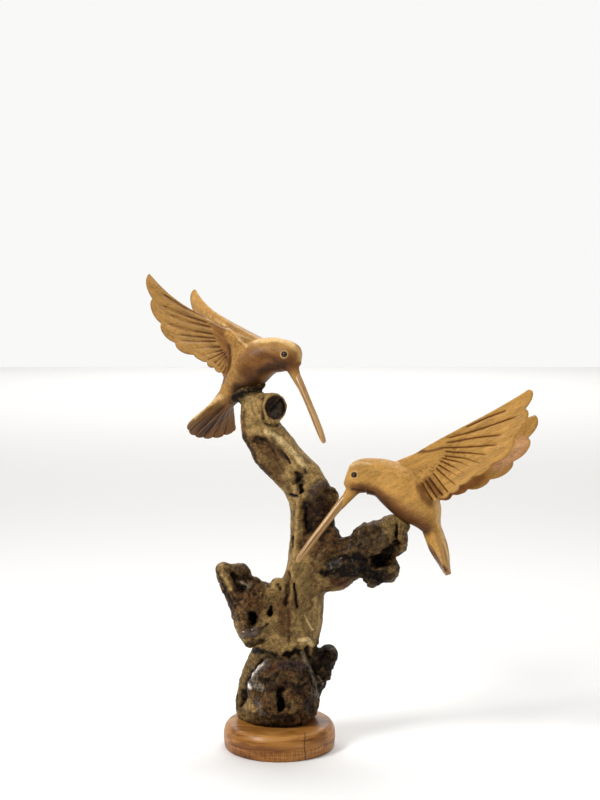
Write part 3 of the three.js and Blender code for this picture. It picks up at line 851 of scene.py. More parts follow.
def wing_shell(bird, side):
    """One wing, from its root on the body to the feathers' tips."""
    wing = bird["wings"][side]
    across = np.linspace(0, 1, FEATHER_COUNT * FEATHER_COLUMNS + 1)
    out = 1 - (1 - np.linspace(0, 1, WING_ROWS)) ** 1.4
    rays = [(r * math.cos(math.radians(a)), r * math.sin(math.radians(a))) for a, r in wing["feathers"]]
    shares = (0.5 + across * FEATHER_COUNT) / (FEATHER_COUNT + 1)
    tips = smooth_curve([wing["leading_tip"], *rays, LAST_TIP], shares)
    scallop = SCALLOP * from_quill(across, FEATHER_COUNT) ** 2.4
    scallop[across < 0.5 / FEATHER_COUNT] *= 0.4
    tips *= (1 - scallop)[:, None]
    shoulder = three_stop_curve([wing["root"], SHOULDER_BEND, SHOULDER_END], across)
    arm = three_stop_curve([wing["arm"], ARM_BEND, ARM_END], across)
    t = out[:, None, None]
    flat = (1 - t) ** 2 * shoulder + 2 * t * (1 - t) * arm + t**2 * tips
    flat[..., 1] -= bird["hook"] * np.clip((flat[..., 0] - 50) / 50, 0, None) ** 2

    # The blade's thickness: its taper, its leading edge, and its round rim
    half = BODY_HALF + (TIP_HALF - BODY_HALF) * step(out, 0.1, 0.75)[:, None]
    half = half + EDGE_HALF * np.exp(-((across / 0.06) ** 2)) * step(out, 0.2, 0.5)[:, None]
    to_rim = np.minimum((1 - out)[:, None] * 90, across * 70) / 1.5
    half = half * np.clip(1 - (1 - np.clip(to_rim, 0, 1)) ** 2, 0.06, 1) ** 0.5
    middle = wing_bend(flat[..., 0], WING_HOLLOW * np.sin(np.pi * across))
    wrist, span, chord, bodyward = wing_axes(bird, side)
    base = wrist + flat[..., :1] * span + flat[..., 1:] * chord
    return skin_between(*(base + (middle + face * half)[..., None] * bodyward for face in (1, -1)))


# %% [markdown]
# The tail is a small fan, thick in its middle where it grows out of the body, with a curl to its outer edges.


# %% Tail shell
TAIL_HALF = 0.95
TAIL_ROWS, TAIL_FEATHER_COLUMNS = 70, 20
TAIL_START = 0.14


def tail_axes(bird):
    """The tail's hub, the directions down the tail and out of its hind face, and how far the fan spreads."""
    slant = math.radians(bird["tail"]["slant"])
    hub = np.array([bird["tail"]["hub"][0], 0, bird["tail"]["hub"][1]])
    down = np.array([-math.sin(slant), 0, -math.cos(slant)])
    behind = np.array([down[2], 0, -down[0]])
    return hub, down, behind, math.radians(bird["tail"]["spread"])


def tail_shell(bird):
    """The tail, from inside the body to its feathers' round tips."""
    tail = bird["tail"]
    hub, down, behind, spread = tail_axes(bird)
    across = np.linspace(0, 1, TAIL_FEATHER_COUNT * TAIL_FEATHER_COLUMNS + 1)
    out = np.linspace(TAIL_START, 1, TAIL_ROWS)
    aside = np.abs(2 * across - 1)
    angle = spread * (2 * across - 1)
    quill = from_quill(across, TAIL_FEATHER_COUNT)

    # The tips are round and shortest at the sides, and the middle swells into the body
    trim = (1.6 * quill**2 + 4 * aside**5) * step(out, 0.8, 1)[:, None]
    reach = out[:, None] * tail["reach"] - trim
    bulk = (0.4 + tail["bulk"] * (1 - step(out, *tail["taper"])))[:, None] * (1 - aside**2)
    half = TAIL_HALF + bulk
    curl = tail["curl"] * aside**2 * out[:, None]
    base = hub + ring_points(reach, angle, down, np.array([0, 1, 0]))
    return skin_between(*(base + (curl + face * half)[..., None] * behind for face in (1, -1)))


# %% [markdown]
# The shells are drawn in the bird's own frame. Each bird is then made a little smaller, rolled, pitched and
# turned, and moved to its perch. The way back is needed too, because the cuts are drawn on the bird.


# %% From a bird's own frame to the carving's
def turn_matrix(bird):
    """The bird's roll, pitch and yaw as one matrix."""
    turn = np.eye(3)
    for axis in (2, 1, 0):
        angle = math.radians(bird["turn"][axis])
        first, second = (axis + 1) % 3, (axis + 2) % 3
        about = np.eye(3)
        about[first, first] = about[second, second] = math.cos(angle)
        about[second, first] = math.sin(angle)
        about[first, second] = -math.sin(angle)
        turn = turn @ about
    return turn


def placed(bird, points):
    """From the bird's own frame to the carving's."""
    return np.asarray(points) * bird["size"] @ turn_matrix(bird).T + np.array(bird["place"])


def unplaced(bird, points):
    """From the carving's frame to the bird's own."""
    return (points - np.array(bird["place"])) @ turn_matrix(bird) / bird["size"]


print("the lower bird's bill leaves its face at", placed(lower_bird, bill_axes(lower_bird)[0]).round(1))

# %% [markdown]
# ## Carving the birds
# The carver cuts between the feathers with a V tool. A texture can only shade such a cut, so here the skin's
# own points go in. Each cut is a line on the flat of the wing, and a point sinks by its distance from the
# line. Beside the line the feathers' edges are rounded into a shallow valley. How deep each point went is
# kept on the mesh, and the material paints shade into the bottom of each cut.


# %% Cuts in the wings
CUT_WIDTH = 1.15
CUT_DEPTH = 0.9
CUT_LEAD = 3
VALLEY_WIDTH = 3.0
SCOOP_DEPTH = 1.5
SCOOP_MIDDLE, SCOOP_SIZE = np.array([6.0, 14.0]), np.array([15.0, 9.0])
MEAN_HOLLOW = 1.6
INNER_SHARE = 0.25


def distance_to_cut(places, cut):
    """Distance from a bent line on the flat of the wing, and how far along it, from 0 to 1."""
    hub, bend, end = np.array(cut, float).reshape(3, 2)
    hub = hub - CUT_LEAD * (bend - hub) / np.linalg.norm(bend - hub)
    away = np.full(len(places), np.inf)
    along = np.zeros(len(places))
    for number, (a, b) in enumerate(((hub, bend), (bend, end))):
        gap, share = from_line(places, a, b)
        along = np.where(gap < away, (number + share) / 2, along)
        away = np.minimum(away, gap)
    return away, along


def wing_cuts(bird, own, side):
    """How far each point of one wing sinks in mm, how much painted shade it gets, and the way its face looks.
    """
    wrist, span, chord, bodyward = wing_axes(bird, side)
    flat = (own - wrist) @ np.linalg.inv(np.stack([span, chord, bodyward]))
    places, height = flat[:, :2], flat[:, 2]
    middle = wing_bend(places[:, 0], MEAN_HOLLOW)
    face = np.tanh((height - middle) / 0.5)
    near_plane = (1 - step(np.abs(height - middle), 6, 8)) * (own[:, 1] * side > 1)
    cut = np.zeros(len(own))
    valley = np.zeros(len(own))
    for line in bird["cuts"]:
        away, along = distance_to_cut(places, line)
        ends = step(along, 0.0, 0.12) * (1 - step(along, 0.82, 1.0))
        cut = np.maximum(cut, ends * np.clip(1 - away / (CUT_WIDTH * (0.5 + 0.5 * ends)), 0, 1))
        valley = np.maximum(valley, ends * (1 - step(away, 0.3, VALLEY_WIDTH)))
    scoop = np.exp(-(((places - SCOOP_MIDDLE) / SCOOP_SIZE) ** 2).sum(1)) * near_plane
    outer = np.clip(-face, 0, 1)
    share = near_plane * (INNER_SHARE + (1 - INNER_SHARE) * outer)
    depth = (CUT_DEPTH * cut + bird["valley"] * valley) * share + SCOOP_DEPTH * scoop * outer
    return depth, cut * share, face[:, None] * bodyward


# %% Ribs on the tail, and all the cuts of a bird
RIB_WIDTH = 1.2
RIB_DEPTH = 0.7
# how much painted shade the tail's ribs get
RIB_SHADE = 0.8


def tail_ribs(bird, own):
    """Fine cuts that fan out over both faces of the tail, and the way each face looks."""
    tail = bird["tail"]
    hub, down, behind, spread = tail_axes(bird)
    rel = own - hub
    reach, aside, height = rel @ down, rel[:, 1], rel @ behind
    share = (np.arctan2(aside, reach) / spread + 1) / 2
    between = from_quill(np.clip(share, 0, 0.999), TAIL_FEATHER_COUNT)
    lane = np.hypot(reach, aside) * spread / TAIL_FEATHER_COUNT
    away = (1 - between) * lane
    zone = step(reach, 0.42 * tail["reach"], 0.6 * tail["reach"]) * (np.abs(height) < 9)
    cut = np.clip(1 - away / RIB_WIDTH, 0, 1) * zone * (share > 0.02) * (share < 0.98)
    face = np.where(height > tail["curl"] * (2 * share - 1) ** 2, 1.0, -1.0)
    return cut, face[:, None] * behind


def feather_cuts(bird, own):
    """How the cuts of both wings and the tail move each point, and how much painted shade they put there."""
    shift = np.zeros_like(own)
    dark = np.zeros(len(own))
    for side in (1, -1):
        depth, cut, facing = wing_cuts(bird, own, side)
        shift -= depth[:, None] * facing
        dark = np.maximum(dark, cut)
    cut, facing = tail_ribs(bird, own)
    shift -= RIB_DEPTH * cut[:, None] * facing
    return shift, np.maximum(dark, RIB_SHADE * cut)


# %% [markdown]
# Each eye sits in a shallow drilled socket with a raised ring round it. Both eyes lie on one line through the
# head, so one distance from that line draws the socket and the ring on both sides.


# %% Eye sockets
SOCKET_DEPTH = 1.1
RING_HEIGHT = 0.35
RING_WIDTH = 0.42
SOCKET_EDGE = (1.9, 2.5)
HEAD_SIDE = 4


def from_eyes(bird, own):
    """Each point's distance from the line through both eyes, in the bird's own size."""
    return np.linalg.norm(own[:, [0, 2]] - bird["eye"], axis=1)


def eye_sockets(bird, own):
    """The drilled sockets, the raised rings, and which side of the head each point is on."""
    away = from_eyes(bird, own) * bird["size"]
    side = np.sign(own[:, 1]) * (np.abs(own[:, 1]) > HEAD_SIDE)
    socket = (1 - step(away, *SOCKET_EDGE)) * np.abs(side)
    ring = np.exp(-(((away - EYE_RING_RADIUS) / RING_WIDTH) ** 2)) * np.abs(side)
    return socket, ring, side


# %% [markdown]
# The shells of a bird become one skin. Its joins are smoothed for longer, because a carver's gouge leaves no
# sharp corner there, and the thin blades are left alone.


# %% One skin for a bird
BIRD_VOXEL = 0.48
SKIN_SMOOTHING, JOIN_SMOOTHING = 14, 50
JOIN_MIDDLE, JOIN_SIZE, JOIN_REACH = (-14, 0, 4), (34, 22, 30), 0.9
FACE_MIDDLE, FACE_REACH = 5, 8


def bird_skin(bird):
    """The bird's object, the pairs of neighbours on its skin, and its points."""
    wings = [wing_shell(bird, side) for side in (1, -1)]
    points, faces = together([body_shell(bird), face_funnel(bird), *wings, tail_shell(bird)])
    made = voxel_skin(to_object(bird["name"] + "_carved", placed(bird, points), faces), BIRD_VOXEL)
    pairs = neighbour_pairs(made.data)
    points = evened(points_of(made.data), pairs, SKIN_SMOOTHING)
    own = unplaced(bird, points)
    start, along, _ = bill_axes(bird)
    inner = near_to((own - JOIN_MIDDLE) / JOIN_SIZE, 0, JOIN_REACH)
    funnel = near_to(own - start, FACE_MIDDLE * along, FACE_REACH)
    soft = relaxed(points, pairs, JOIN_SMOOTHING)
    points = points + (soft - points) * np.maximum(inner, funnel)[:, None]
    put_points(made.data, points)
    return made, pairs, points


# %% Carve and stain both birds
BIRD_TRIANGLES = 190_000
BIRD_STROKE_THICK = 6
PUNCH_HALF_WIDTH = 7
PUNCH_SIZE = 1.3
PUNCH_DEPTH = 0.25
NORMAL_SMOOTHING, HOLLOW_SMOOTHING = 6, 14
BIRD_SANDING = 0.3


def carve_bird(bird):
    """A bird with its cuts, eyes, stains, painted shade and painted highlights, and with what its material
    needs to know at each point.
    """
    made, pairs, points = bird_skin(bird)
    mesh = made.data
    own = unplaced(bird, points)
    normals = relaxed(normals_of(mesh), pairs, NORMAL_SMOOTHING)
    tree = surface_tree(mesh, points)
    shift, dark = feather_cuts(bird, own)
    socket, ring, side = eye_sockets(bird, own)
    shift[:, 1] -= side * (SOCKET_DEPTH * socket - RING_HEIGHT * ring)
    # painted shade in the eye sockets
    dark = np.maximum(dark, socket)

    # One ground tone, painted shade on the faces that look down, the strokes, and the eyes' raised rings made
    # pale
    paint = coat_of(bird["ground"], len(points))
    lay(paint, bird["under"], 0.85 * step(-normals[:, 2], bird["shade_from"], 0.9))
    thick = BIRD_STROKE_THICK
    moved = worked(tree, points, normals, paint, bird["strokes"], thick, wander=0.8, gaps=0) - points
    lay(paint, "pale", 0.8 * ring)

    # Small punch marks roughen the shoulder
    shoulder = touched(tree, *seen(points), bird["punched"], PUNCH_HALF_WIDTH, thick)
    punched = shoulder * step(noise(points, PUNCH_SIZE, 41), 0.1, 0.5)
    lay(paint, "bird dark", 0.5 * punched)
    moved = moved - PUNCH_DEPTH * punched[:, None] * normals
    moved = points + moved + shift * bird["size"] @ turn_matrix(bird).T
    points = relaxed(moved, pairs, 1, BIRD_SANDING)
    put_points(mesh, points)

    # The wood's grain runs along the near wing
    _, span, _, bodyward = wing_axes(bird, bird["near_side"])
    grain = np.stack([own @ span, own @ np.cross(bodyward, span), own @ bodyward], 1)
    # the measures from which the material paints shade into the cuts and the hollows
    put_attribute(mesh, "cut", relaxed(dark, pairs, 1))
    put_attribute(mesh, "hollow", hollow_at(mesh, points, pairs, HOLLOW_SMOOTHING))
    put_attribute(mesh, "paint", relaxed(paint, pairs, 1))
    put_attribute(mesh, "grain", grain * bird["size"])
    fewer = made.modifiers.new("fewer faces where it is smooth", "DECIMATE")
    fewer.ratio = BIRD_TRIANGLES / triangle_count(mesh)
    with_modifiers_applied(made)
    made.data.shade_smooth()
    print(made.name, "has", triangle_count(made.data), "triangles")
    return made


lower_carved = carve_bird(lower_bird)
upper_carved = carve_bird(upper_bird)

# %% [markdown]
# ## Bills
# Each bill is a long sliver of straight-grained wood, let into the face. It follows a rule: a slightly
# drooping line, round in section, that thins towards a blunt tip. Geometry Nodes fit such a piece well,
# because its sizes stay as named inputs. A round profile is swept along a curve whose radius changes.


# %% How every node tree starts and ends
def tree_with_inputs(name, inputs):
    """A Geometry Nodes tree with named inputs. Gives the tree, its inputs' sockets and their identifiers."""
    tree = bpy.data.node_groups.new(name, "GeometryNodeTree")
    identifiers = {}
    for label, kind in inputs.items():
        socket = tree.interface.new_socket(name=label, in_out="INPUT", socket_type="NodeSocket" + kind)
        identifiers[label] = socket.identifier
    tree.interface.new_socket(name="Geometry", in_out="OUTPUT", socket_type="NodeSocketGeometry")
    return tree, add_node(tree, "NodeGroupInput").outputs, identifiers


def end_tree(tree, geometry, material):
    """End a tree with real geometry that has its material."""
    real = add_node(tree, "GeometryNodeRealizeInstances", inputs={"Geometry": geometry})
    inputs = {"Geometry": real.outputs["Geometry"], "Material": material}
    painted = add_node(tree, "GeometryNodeSetMaterial", inputs=inputs)
    add_node(tree, "NodeGroupOutput", inputs={"Geometry": painted.outputs["Geometry"]})


def grown(name, tree, identifiers, values):
    """The plain mesh that a tree makes. An input is set by its identifier, before the tree first runs."""
    made = to_object(name, [(0, 0, 0)], [])
    modifier = made.modifiers.new("shape", "NODES")
    modifier.node_group = tree
    for label, value in values.items():
        modifier[identifiers[label]] = value
    return with_modifiers_applied(made)


# %% Bill node tree
BILL_TAPER = ((0.28, 1.0), (0.38, 0.93), (0.5, 0.86), (0.8, 0.84), (0.91, 0.76), (0.97, 0.6))
BILL_TIP = 0.2
BILL_ROWS, BILL_SIDES = 110, 40


def bill_tree(material):
    """A round profile swept along a bowed line, with a radius that follows the drawn taper."""
    tree, given, identifiers = tree_with_inputs(
        "carved_bill", {"Start": "Vector", "Bow": "Vector", "End": "Vector", "Root Radius": "Float"}
    )
    stops = {"Start": given["Start"], "Middle": given["Bow"], "End": given["End"]}
    line = add_node(tree, "GeometryNodeCurveQuadraticBezier", inputs={"Resolution": BILL_ROWS, **stops})
    along = add_node(tree, "GeometryNodeSplineParameter")
    taper = add_node(tree, "ShaderNodeFloatCurve", inputs={"Value": along.outputs["Factor"]})
    outline = taper.mapping.curves[0]
    outline.points[0].location = (0, 1)
    outline.points[1].location = (1, BILL_TIP)
    for share, radius in BILL_TAPER:
        outline.points.new(share, radius)
    taper.mapping.update()
    scaled = {0: taper.outputs["Value"], 1: given["Root Radius"]}
    radius = add_node(tree, "ShaderNodeMath", {"operation": "MULTIPLY"}, scaled)
    sizes = {"Resolution": BILL_SIDES, "Radius": 1.0}
    ring = add_node(tree, "GeometryNodeCurvePrimitiveCircle", inputs=sizes)
    swept = add_node(
        tree,
        "GeometryNodeCurveToMesh",
        inputs={
            "Curve": line.outputs["Curve"],
            "Profile Curve": ring.outputs["Curve"],
            "Scale": radius.outputs["Value"],
            "Fill Caps": True,
        },
    )
    end_tree(tree, swept.outputs["Mesh"], material)
    return tree, identifiers


# %% [markdown]
# On the real bills a knife line down each side parts the upper bill from the lower. It is too fine for the
# tree's rings, so the finished mesh is pressed in along that line.

# %% Make the bills
BILL_ROOT_RADIUS = 3.6
BILL_BOW = 1.0
KNIFE_HEIGHT, KNIFE_WIDTH, KNIFE_DEPTH = 0.35, 0.42, 0.22
bill_wood = bpy.data.materials.new("bill_wood_varnished")
bill_nodes, bill_inputs = bill_tree(bill_wood)


def make_bill(bird):
    """The bill of one bird, with its knife line and its own grain."""
    size = bird["size"]
    start, along, above = bill_axes(bird)
    length = bird["bill"]["length"] / size
    stops = {
        "Start": start,
        "Bow": start + along * length / 2 + above * 2 * BILL_BOW / size,
        "End": start + along * length,
    }
    values = {name: [float(v) for v in placed(bird, stop) * MM] for name, stop in stops.items()}
    values["Root Radius"] = BILL_ROOT_RADIUS * size * MM
    made = grown(bird["name"] + "_bill_sliver", bill_nodes, bill_inputs, values)
    mesh = made.data
    points = points_of(mesh)
    own = unplaced(bird, points) - start
    reach = own @ along / length
    middle = 4 * reach * (1 - reach) * BILL_BOW / size
    height = own @ above - middle
    line = np.clip(1 - np.abs(height + KNIFE_HEIGHT) / KNIFE_WIDTH, 0, 1)
    line = line * step(reach, 0.12, 0.2) * (1 - step(reach, 0.9, 0.97))
    inward = -np.sign(own[:, 1:2]) * (turn_matrix(bird)[:, 1] * size)
    put_points(mesh, points + KNIFE_DEPTH * line[:, None] * inward)
    # the knife line, which the material darkens with painted shade
    put_attribute(mesh, "cut", line)
    put_attribute(mesh, "grain", np.stack([reach * length, own[:, 1], height], 1))
    mesh.shade_smooth()
    print(made.name, "has", len(mesh.vertices), "points")
    return made


lower_bill = make_bill(lower_bird)
upper_bill = make_bill(upper_bird)

# %% [markdown]
# ## Eyes
# The eyes are small dark beads, each glued in its socket. A bead this small needs few faces, but it must be
# round, because its only feature is one sharp highlight.

# %% Make the eyes
BEAD_RISE = 0.35
bead_glass = bpy.data.materials.new("glass_bead_near_black")


def make_eye(bird, carved, side, word):
    """A bead set so that it stands a little proud of the bottom of its ring."""
    skin = unplaced(bird, points_of(carved.data))
    near = from_eyes(bird, skin) < 1.0
    bottom = np.abs(skin[near & (skin[:, 1] * side > HEAD_SIDE), 1]).mean()
    x, z = bird["eye"]
    centre = placed(bird, (x, side * (bottom + BEAD_RISE), z))
    made = to_object(f"{bird['name']}_eye_bead_{word}", *ball(centre, EYE_BEAD_RADIUS))
    made.data.materials.append(bead_glass)
    made.data.shade_smooth()
    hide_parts(f"{bird['name']}_eye_{word}")
    return made


eyes = [
    make_eye(bird, carved, side, word)
    for bird, carved in ((lower_bird, lower_carved), (upper_bird, upper_carved))
    for side, word in ((1, "left"), (-1, "right"))
]
print(len(eyes), "eyes")

# %% [markdown]
# ## The root
# A root like this is found, cleaned and varnished. It has smooth tan stretches with long fibres, dark knobbly
# burls, and deep holes where soft wood rotted out. The plain model already has its limbs. A copy is remeshed
# and smoothed until its flat facets are gone, and then the knobs, hollows and fibres are pushed into it.

# %% Smooth copy of the plain root
WELD_GAP = 0.01
LIMB_VOXEL = 1.5
LIMB_SMOOTHING = 11
LIMB_SWELL = 0.5
limbs = bpy.data.objects.new("rootwood_limbs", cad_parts["rootwood"].data.copy())
bpy.context.scene.collection.objects.link(limbs)
weld = limbs.modifiers.new("merge", "WELD")
weld.merge_threshold = WELD_GAP * MM
with_modifiers_applied(limbs)
voxel_skin(limbs, LIMB_VOXEL)
limb_points = relaxed(points_of(limbs.data), neighbour_pairs(limbs.data), LIMB_SMOOTHING)
put_points(limbs.data, limb_points)
limb_points = limb_points + LIMB_SWELL * normals_of(limbs.data)
limb_tree = surface_tree(limbs.data, limb_points)
print("limbs have", len(limb_points), "points")

# %% [markdown]
# Knobs are balls, added before a second remesh, so that each one gets a soft seam round it. Each is drawn on
# the photograph: its middle and its radius in pixels, and how far back it lies if no limb is behind it.

# %% Knobs
KNOB_SUNK = 0.45
KNOBS = [
    ("first horn's tip", 221, 570, 6.0, -8),
    ("first horn's shoulder", 225, 579, 6.5, -8),
    ("second horn", 240, 571, 6.5, -8),
    ("bump between the horns", 255, 584, 7, -8),
    ("golden knob", 278, 586, 8, -8),
    ("burl's lower left", 246, 632, 8, -8),
    ("burl's bottom", 250, 641, 7, -8),
    ("branch's olive knob", 372, 531, 7, -14),
    ("branch's end lobe", 400, 540, 7, -18),
    ("peg", 399, 527, 5.5, -19),
    ("knob under the hollow", 391, 572, 8, -18),
    ("lowest knob", 374, 580, 7, -16),
    ("dark burl on the stem", 318, 488, 7, -4),
    ("red nub", 332, 491, 4.5, -4),
    ("knuckle", 307, 642, 5.5, -8),
    ("spur's tip", 330, 655, 7.5, 10),
    ("spur", 324, 672, 8, 10),
]
knob_shells = []
for _, pixel_x, pixel_y, radius_pixels, y in KNOBS:
    ray = ray_through(pixel_x, pixel_y)
    away = (y - CAMERA_PLACE[1]) / ray[1]
    radius = radius_pixels * away / FOCUS_PIXELS
    spot = wood_under(limb_tree, pixel_x, pixel_y)
    middle = CAMERA_PLACE + ray * away if spot is None else np.array(spot) + KNOB_SUNK * radius * ray
    knob_shells.append(ball(middle, radius))
print(len(knob_shells), "knobs")

# %% [markdown]
# One limb was sawn off short. It is a turned shell, a little out of round: a rim of bark that swelled round
# the cut, and a sunk face. Its profile is a radius and a distance along the shoot for each ring.

# %% The sawn shoot
SHOOT_PLACE = np.array([-4.1, -12.5, 278])
SHOOT_AXIS = np.array([0.6, -0.8, 0.05])
SHOOT_AXIS /= np.linalg.norm(SHOOT_AXIS)
SHOOT_SIDES = 72
SHOOT_PROFILE = [
    (9, -14), (11.4, -11), (11.3, -6), (11.0, -4), (11.5, -2), (11.9, -0.5), (11.6, 1.2), (10.7, 2.4),
    (9.9, 2.9), (9.2, 2.2), (8.6, 0.9), (4, 1.1),
]


def shoot_shell():
    """The stub of the shoot, from inside the stem to its sawn face."""
    side = np.cross(SHOOT_AXIS, (0, 0, 1))
    side /= np.linalg.norm(side)
    up = np.cross(side, SHOOT_AXIS)
    radius, along = (np.array(column)[:, None] for column in zip(*SHOOT_PROFILE))
    angle = round_angles(SHOOT_SIDES)
    uneven = radius * (1 + 0.03 * np.sin(2 * angle + 1) + 0.02 * np.sin(5 * angle))
    rings = ring_points(uneven, angle, side, up)
    return skin_over_rings(SHOOT_PLACE + along[..., None] * SHOOT_AXIS + rings)


# %% One skin for the root
ROOT_VOXEL = 0.92
SKIN_RELAXING, NORMAL_RELAXING = 4, 5
shells = [(limb_points, faces_of(limbs.data)), shoot_shell(), *knob_shells]
rootwood = voxel_skin(to_object("rootwood_natural", *together(shells)), ROOT_VOXEL)
bpy.data.objects.remove(limbs)
root_mesh = rootwood.data
root_pairs = neighbour_pairs(root_mesh)
root_points = relaxed(points_of(root_mesh), root_pairs, SKIN_RELAXING)
put_points(root_mesh, root_points)
root_normals = relaxed(normals_of(root_mesh), root_pairs, NORMAL_RELAXING)
root_tree = surface_tree(root_mesh, root_points)
print("root skin has", len(root_points), "points")

# %% [markdown]
# Fibres run along each limb, so every point needs to know which way its limb grows. A few stops along the
# middle of each limb are enough. A point takes the direction of the nearest stretches, blended.

# %% Which way the fibres run
LIMBS = [
    [
        (-3, 3, 15), (-1, 3, 62), (9, 2, 97), (22, 0, 150),
        (28, 0, 190), (18, 0, 219), (-4, 0, 245), (-20, -1, 292),
    ],
    [(8, -3, 92), (-18, -7, 104), (-34, -8, 132), (-48, -8, 152)],
    [(20, 0, 138), (46, -4, 149), (75, -13, 168), (100, -20, 176)],
    [(22, 9, 18), (31, 10, 58), (46, 10, 80)],
]


def fibre_direction(points):
    """The way the nearest stretches of limb run, blended at each point."""
    total = np.zeros_like(points)
    for limb in LIMBS:
        for start, end in zip(np.array(limb[:-1], float), np.array(limb[1:], float)):
            away, _ = from_line(points, start, end)
            run = end - start
            total += run / np.linalg.norm(run) / (away[:, None] ** 2 + 9) ** 2
    return total / np.linalg.norm(total, axis=1, keepdims=True)


fibre = fibre_direction(root_points)
print("fibre directions:", len(fibre), "from", len(LIMBS), "limbs")

# %% [markdown]
# The ground colours come first. Each part of the root has two tones that meet in blotches: the stem is tan
# and olive, and the burls, the foot and the branch are dark. Each row has a part's middle, its reach in mm,
# how rough it is, and its two tones.

# %% Ground colours
GROUNDS = [
    ("trunk", (18, 0, 118), 24, 0.0, "olive", "brown"),
    ("branch", (70, -8, 160), 36, 1.0, "dark", "brown"),
    ("left burl", (-30, -8, 126), 28, 0.8, "brown", "dark"),
    ("foot", (4, -6, 44), 40, 0.8, "dark", "brown"),
    ("spur", (36, 12, 66), 24, 1.0, "black", "dark"),
    ("stem by the recess", (34, -6, 190), 19, 0.8, "dark", "brown"),
]
paint = coat_of("tan", len(root_points))
lay(paint, "olive", step(noise(root_points, 12, 1) + 0.5 * noise(root_points, 4, 2), -0.2, 0.5))
blotches = step(noise(root_points, 8, 3) + 0.8 * noise(root_points, 3, 4), -0.05, 0.5)
rough = np.zeros(len(root_points))
for _, middle, reach, roughness, first, second in GROUNDS:
    near = near_to(root_points, middle, reach)
    lay(paint, first, near)
    lay(paint, second, near * blotches)
    rough = np.maximum(rough, near * roughness)
print("share of the root that is rough:", round(float((rough > 0.5).mean()), 2))

# %% [markdown]
# Where the wood is dark it is also rough, with lumps, and with veins that sink in. The smooth stretches have
# long fibres, and fine splits along them. All of it is noise of different sizes, pushed into the points.

# %% Rough grain
bent = root_points + 2 * np.stack([noise(root_points, 6, seed) for seed in (5, 6, 7)], 1)
vein = (1 - step(np.abs(noise(bent, 9, 8)), 0, 0.12)) * rough
split = (1 - step(np.abs(streaks(root_points, fibre, 3.2, 30, 14)), 0, 0.06)) * (1 - rough)
fibre_fine = streaks(root_points, fibre, 1.3, 14, 12) + 0.6 * streaks(root_points, fibre, 2.8, 30, 13)
lump = 0.8 * noise(root_points, 15, 6) + 0.3 * noise(root_points, 5, 7) + 0.3 * fibre_fine * (1 - rough)
rough_lump = 1.5 * noise(root_points, 8, 9) + 1.1 * noise(root_points, 4, 10)
lump += rough * (rough_lump + 0.4 * noise(root_points, 2, 11))
lump -= 1.0 * vein + 0.35 * split
carved_points = root_points + lump[:, None] * root_normals
print("lumps from", round(float(lump.min()), 1), "to", round(float(lump.max()), 1), "mm")

# %% Blotches, flecks and splits in the paint
flecks = noise(root_points, 2.4, 21) + 0.5 * streaks(root_points, fibre, 1.4, 8, 22)
lay(paint, "olive", 0.55 * rough * step(noise(root_points, 6.5, 24), 0.2, 0.6))
lay(paint, "black", 0.6 * rough * step(noise(root_points, 7.5, 25), 0.2, 0.6))
lay(paint, "gold", 0.3 * rough * step(flecks, 0.35, 0.9))
lay(paint, "black", 0.7 * rough * step(-flecks, 0.25, 0.8))
lay(paint, "black", 0.6 * vein)
lay(paint, "brown", 0.5 * split)

# %% [markdown]
# Now the strokes, each named for what it shows. The stem is smooth and tan. Below the sawn shoot it has a
# worn scoop with a dark lip, and a pale ridge runs down its right side to the rotten recess. The scoop, the
# fold under the shoot and the stem's left side are darkened with painted shade, and the perch carries the
# painted shadow of the bird above it.

# %% Strokes on the stem
ROOT_STROKES = [
    # painted shade in the scoop
    ("scoop below the sawn shoot", "brown", 11, 3.2, [(254, 447), (268, 456), (278, 468)]),
    ("worn floor of the scoop", "olive", 4.5, 0, [(262, 456), (271, 464)]),
    ("shade under the lip", "brown", 6, 2.0, [(254, 440), (264, 442), (272, 448), (280, 456)]),
    ("lip over the scoop", "umber", 2.4, 0.7, [(256, 438), (264, 440), (273, 445), (281, 452), (287, 459)]),
    ("crack at the end of the lip", "black", 1.3, 1.5, [(285, 453), (287, 457), (290, 463)]),
    ("pale ridge", "pale", 3.5, -1.6, [(266, 431), (276, 437), (288, 447), (298, 459), (306, 468)]),
    ("left flank of the stem", "brown", 5, 0, [(260, 466), (270, 474), (280, 480)]),
    # painted shade down the stem's left side
    ("shaded left side of the stem", "brown", 3.5, 0, [(244, 412), (243, 424), (246, 440)]),
    ("left edge of the stem", "dark", 3.0, 0, [(243, 434), (247, 447), (256, 462), (268, 476)]),
    # painted shade in the fold under the shoot
    ("fold under the shoot", "olive", 2.4, 1.0, [(266, 424), (274, 426), (283, 424)]),
    # painted shadow that the upper bird casts on the perch
    ("shaded perch", "dark", 8, 0, [(234, 396), (242, 391), (250, 387), (259, 384)]),
    ("darkest part of the perch", "black", 4.5, 0, [(232, 398), (243, 394), (252, 391), (262, 388)]),
    ("perch's left end", "black", 6, 1, [(230, 398), (236, 401)]),
    ("groove left of the shoot", "brown", 1.8, 1.2, [(263, 398), (261, 408), (264, 419)]),
]

# %% [markdown]
# The recess is a rotten trough between the stem and the trunk. It has a hole at its top, long slits in its
# floor, and a pale rib of sound wood on its left. A dark burl grows over its right side. Its pits, hole,
# slits and long trough are darkened with painted shade.

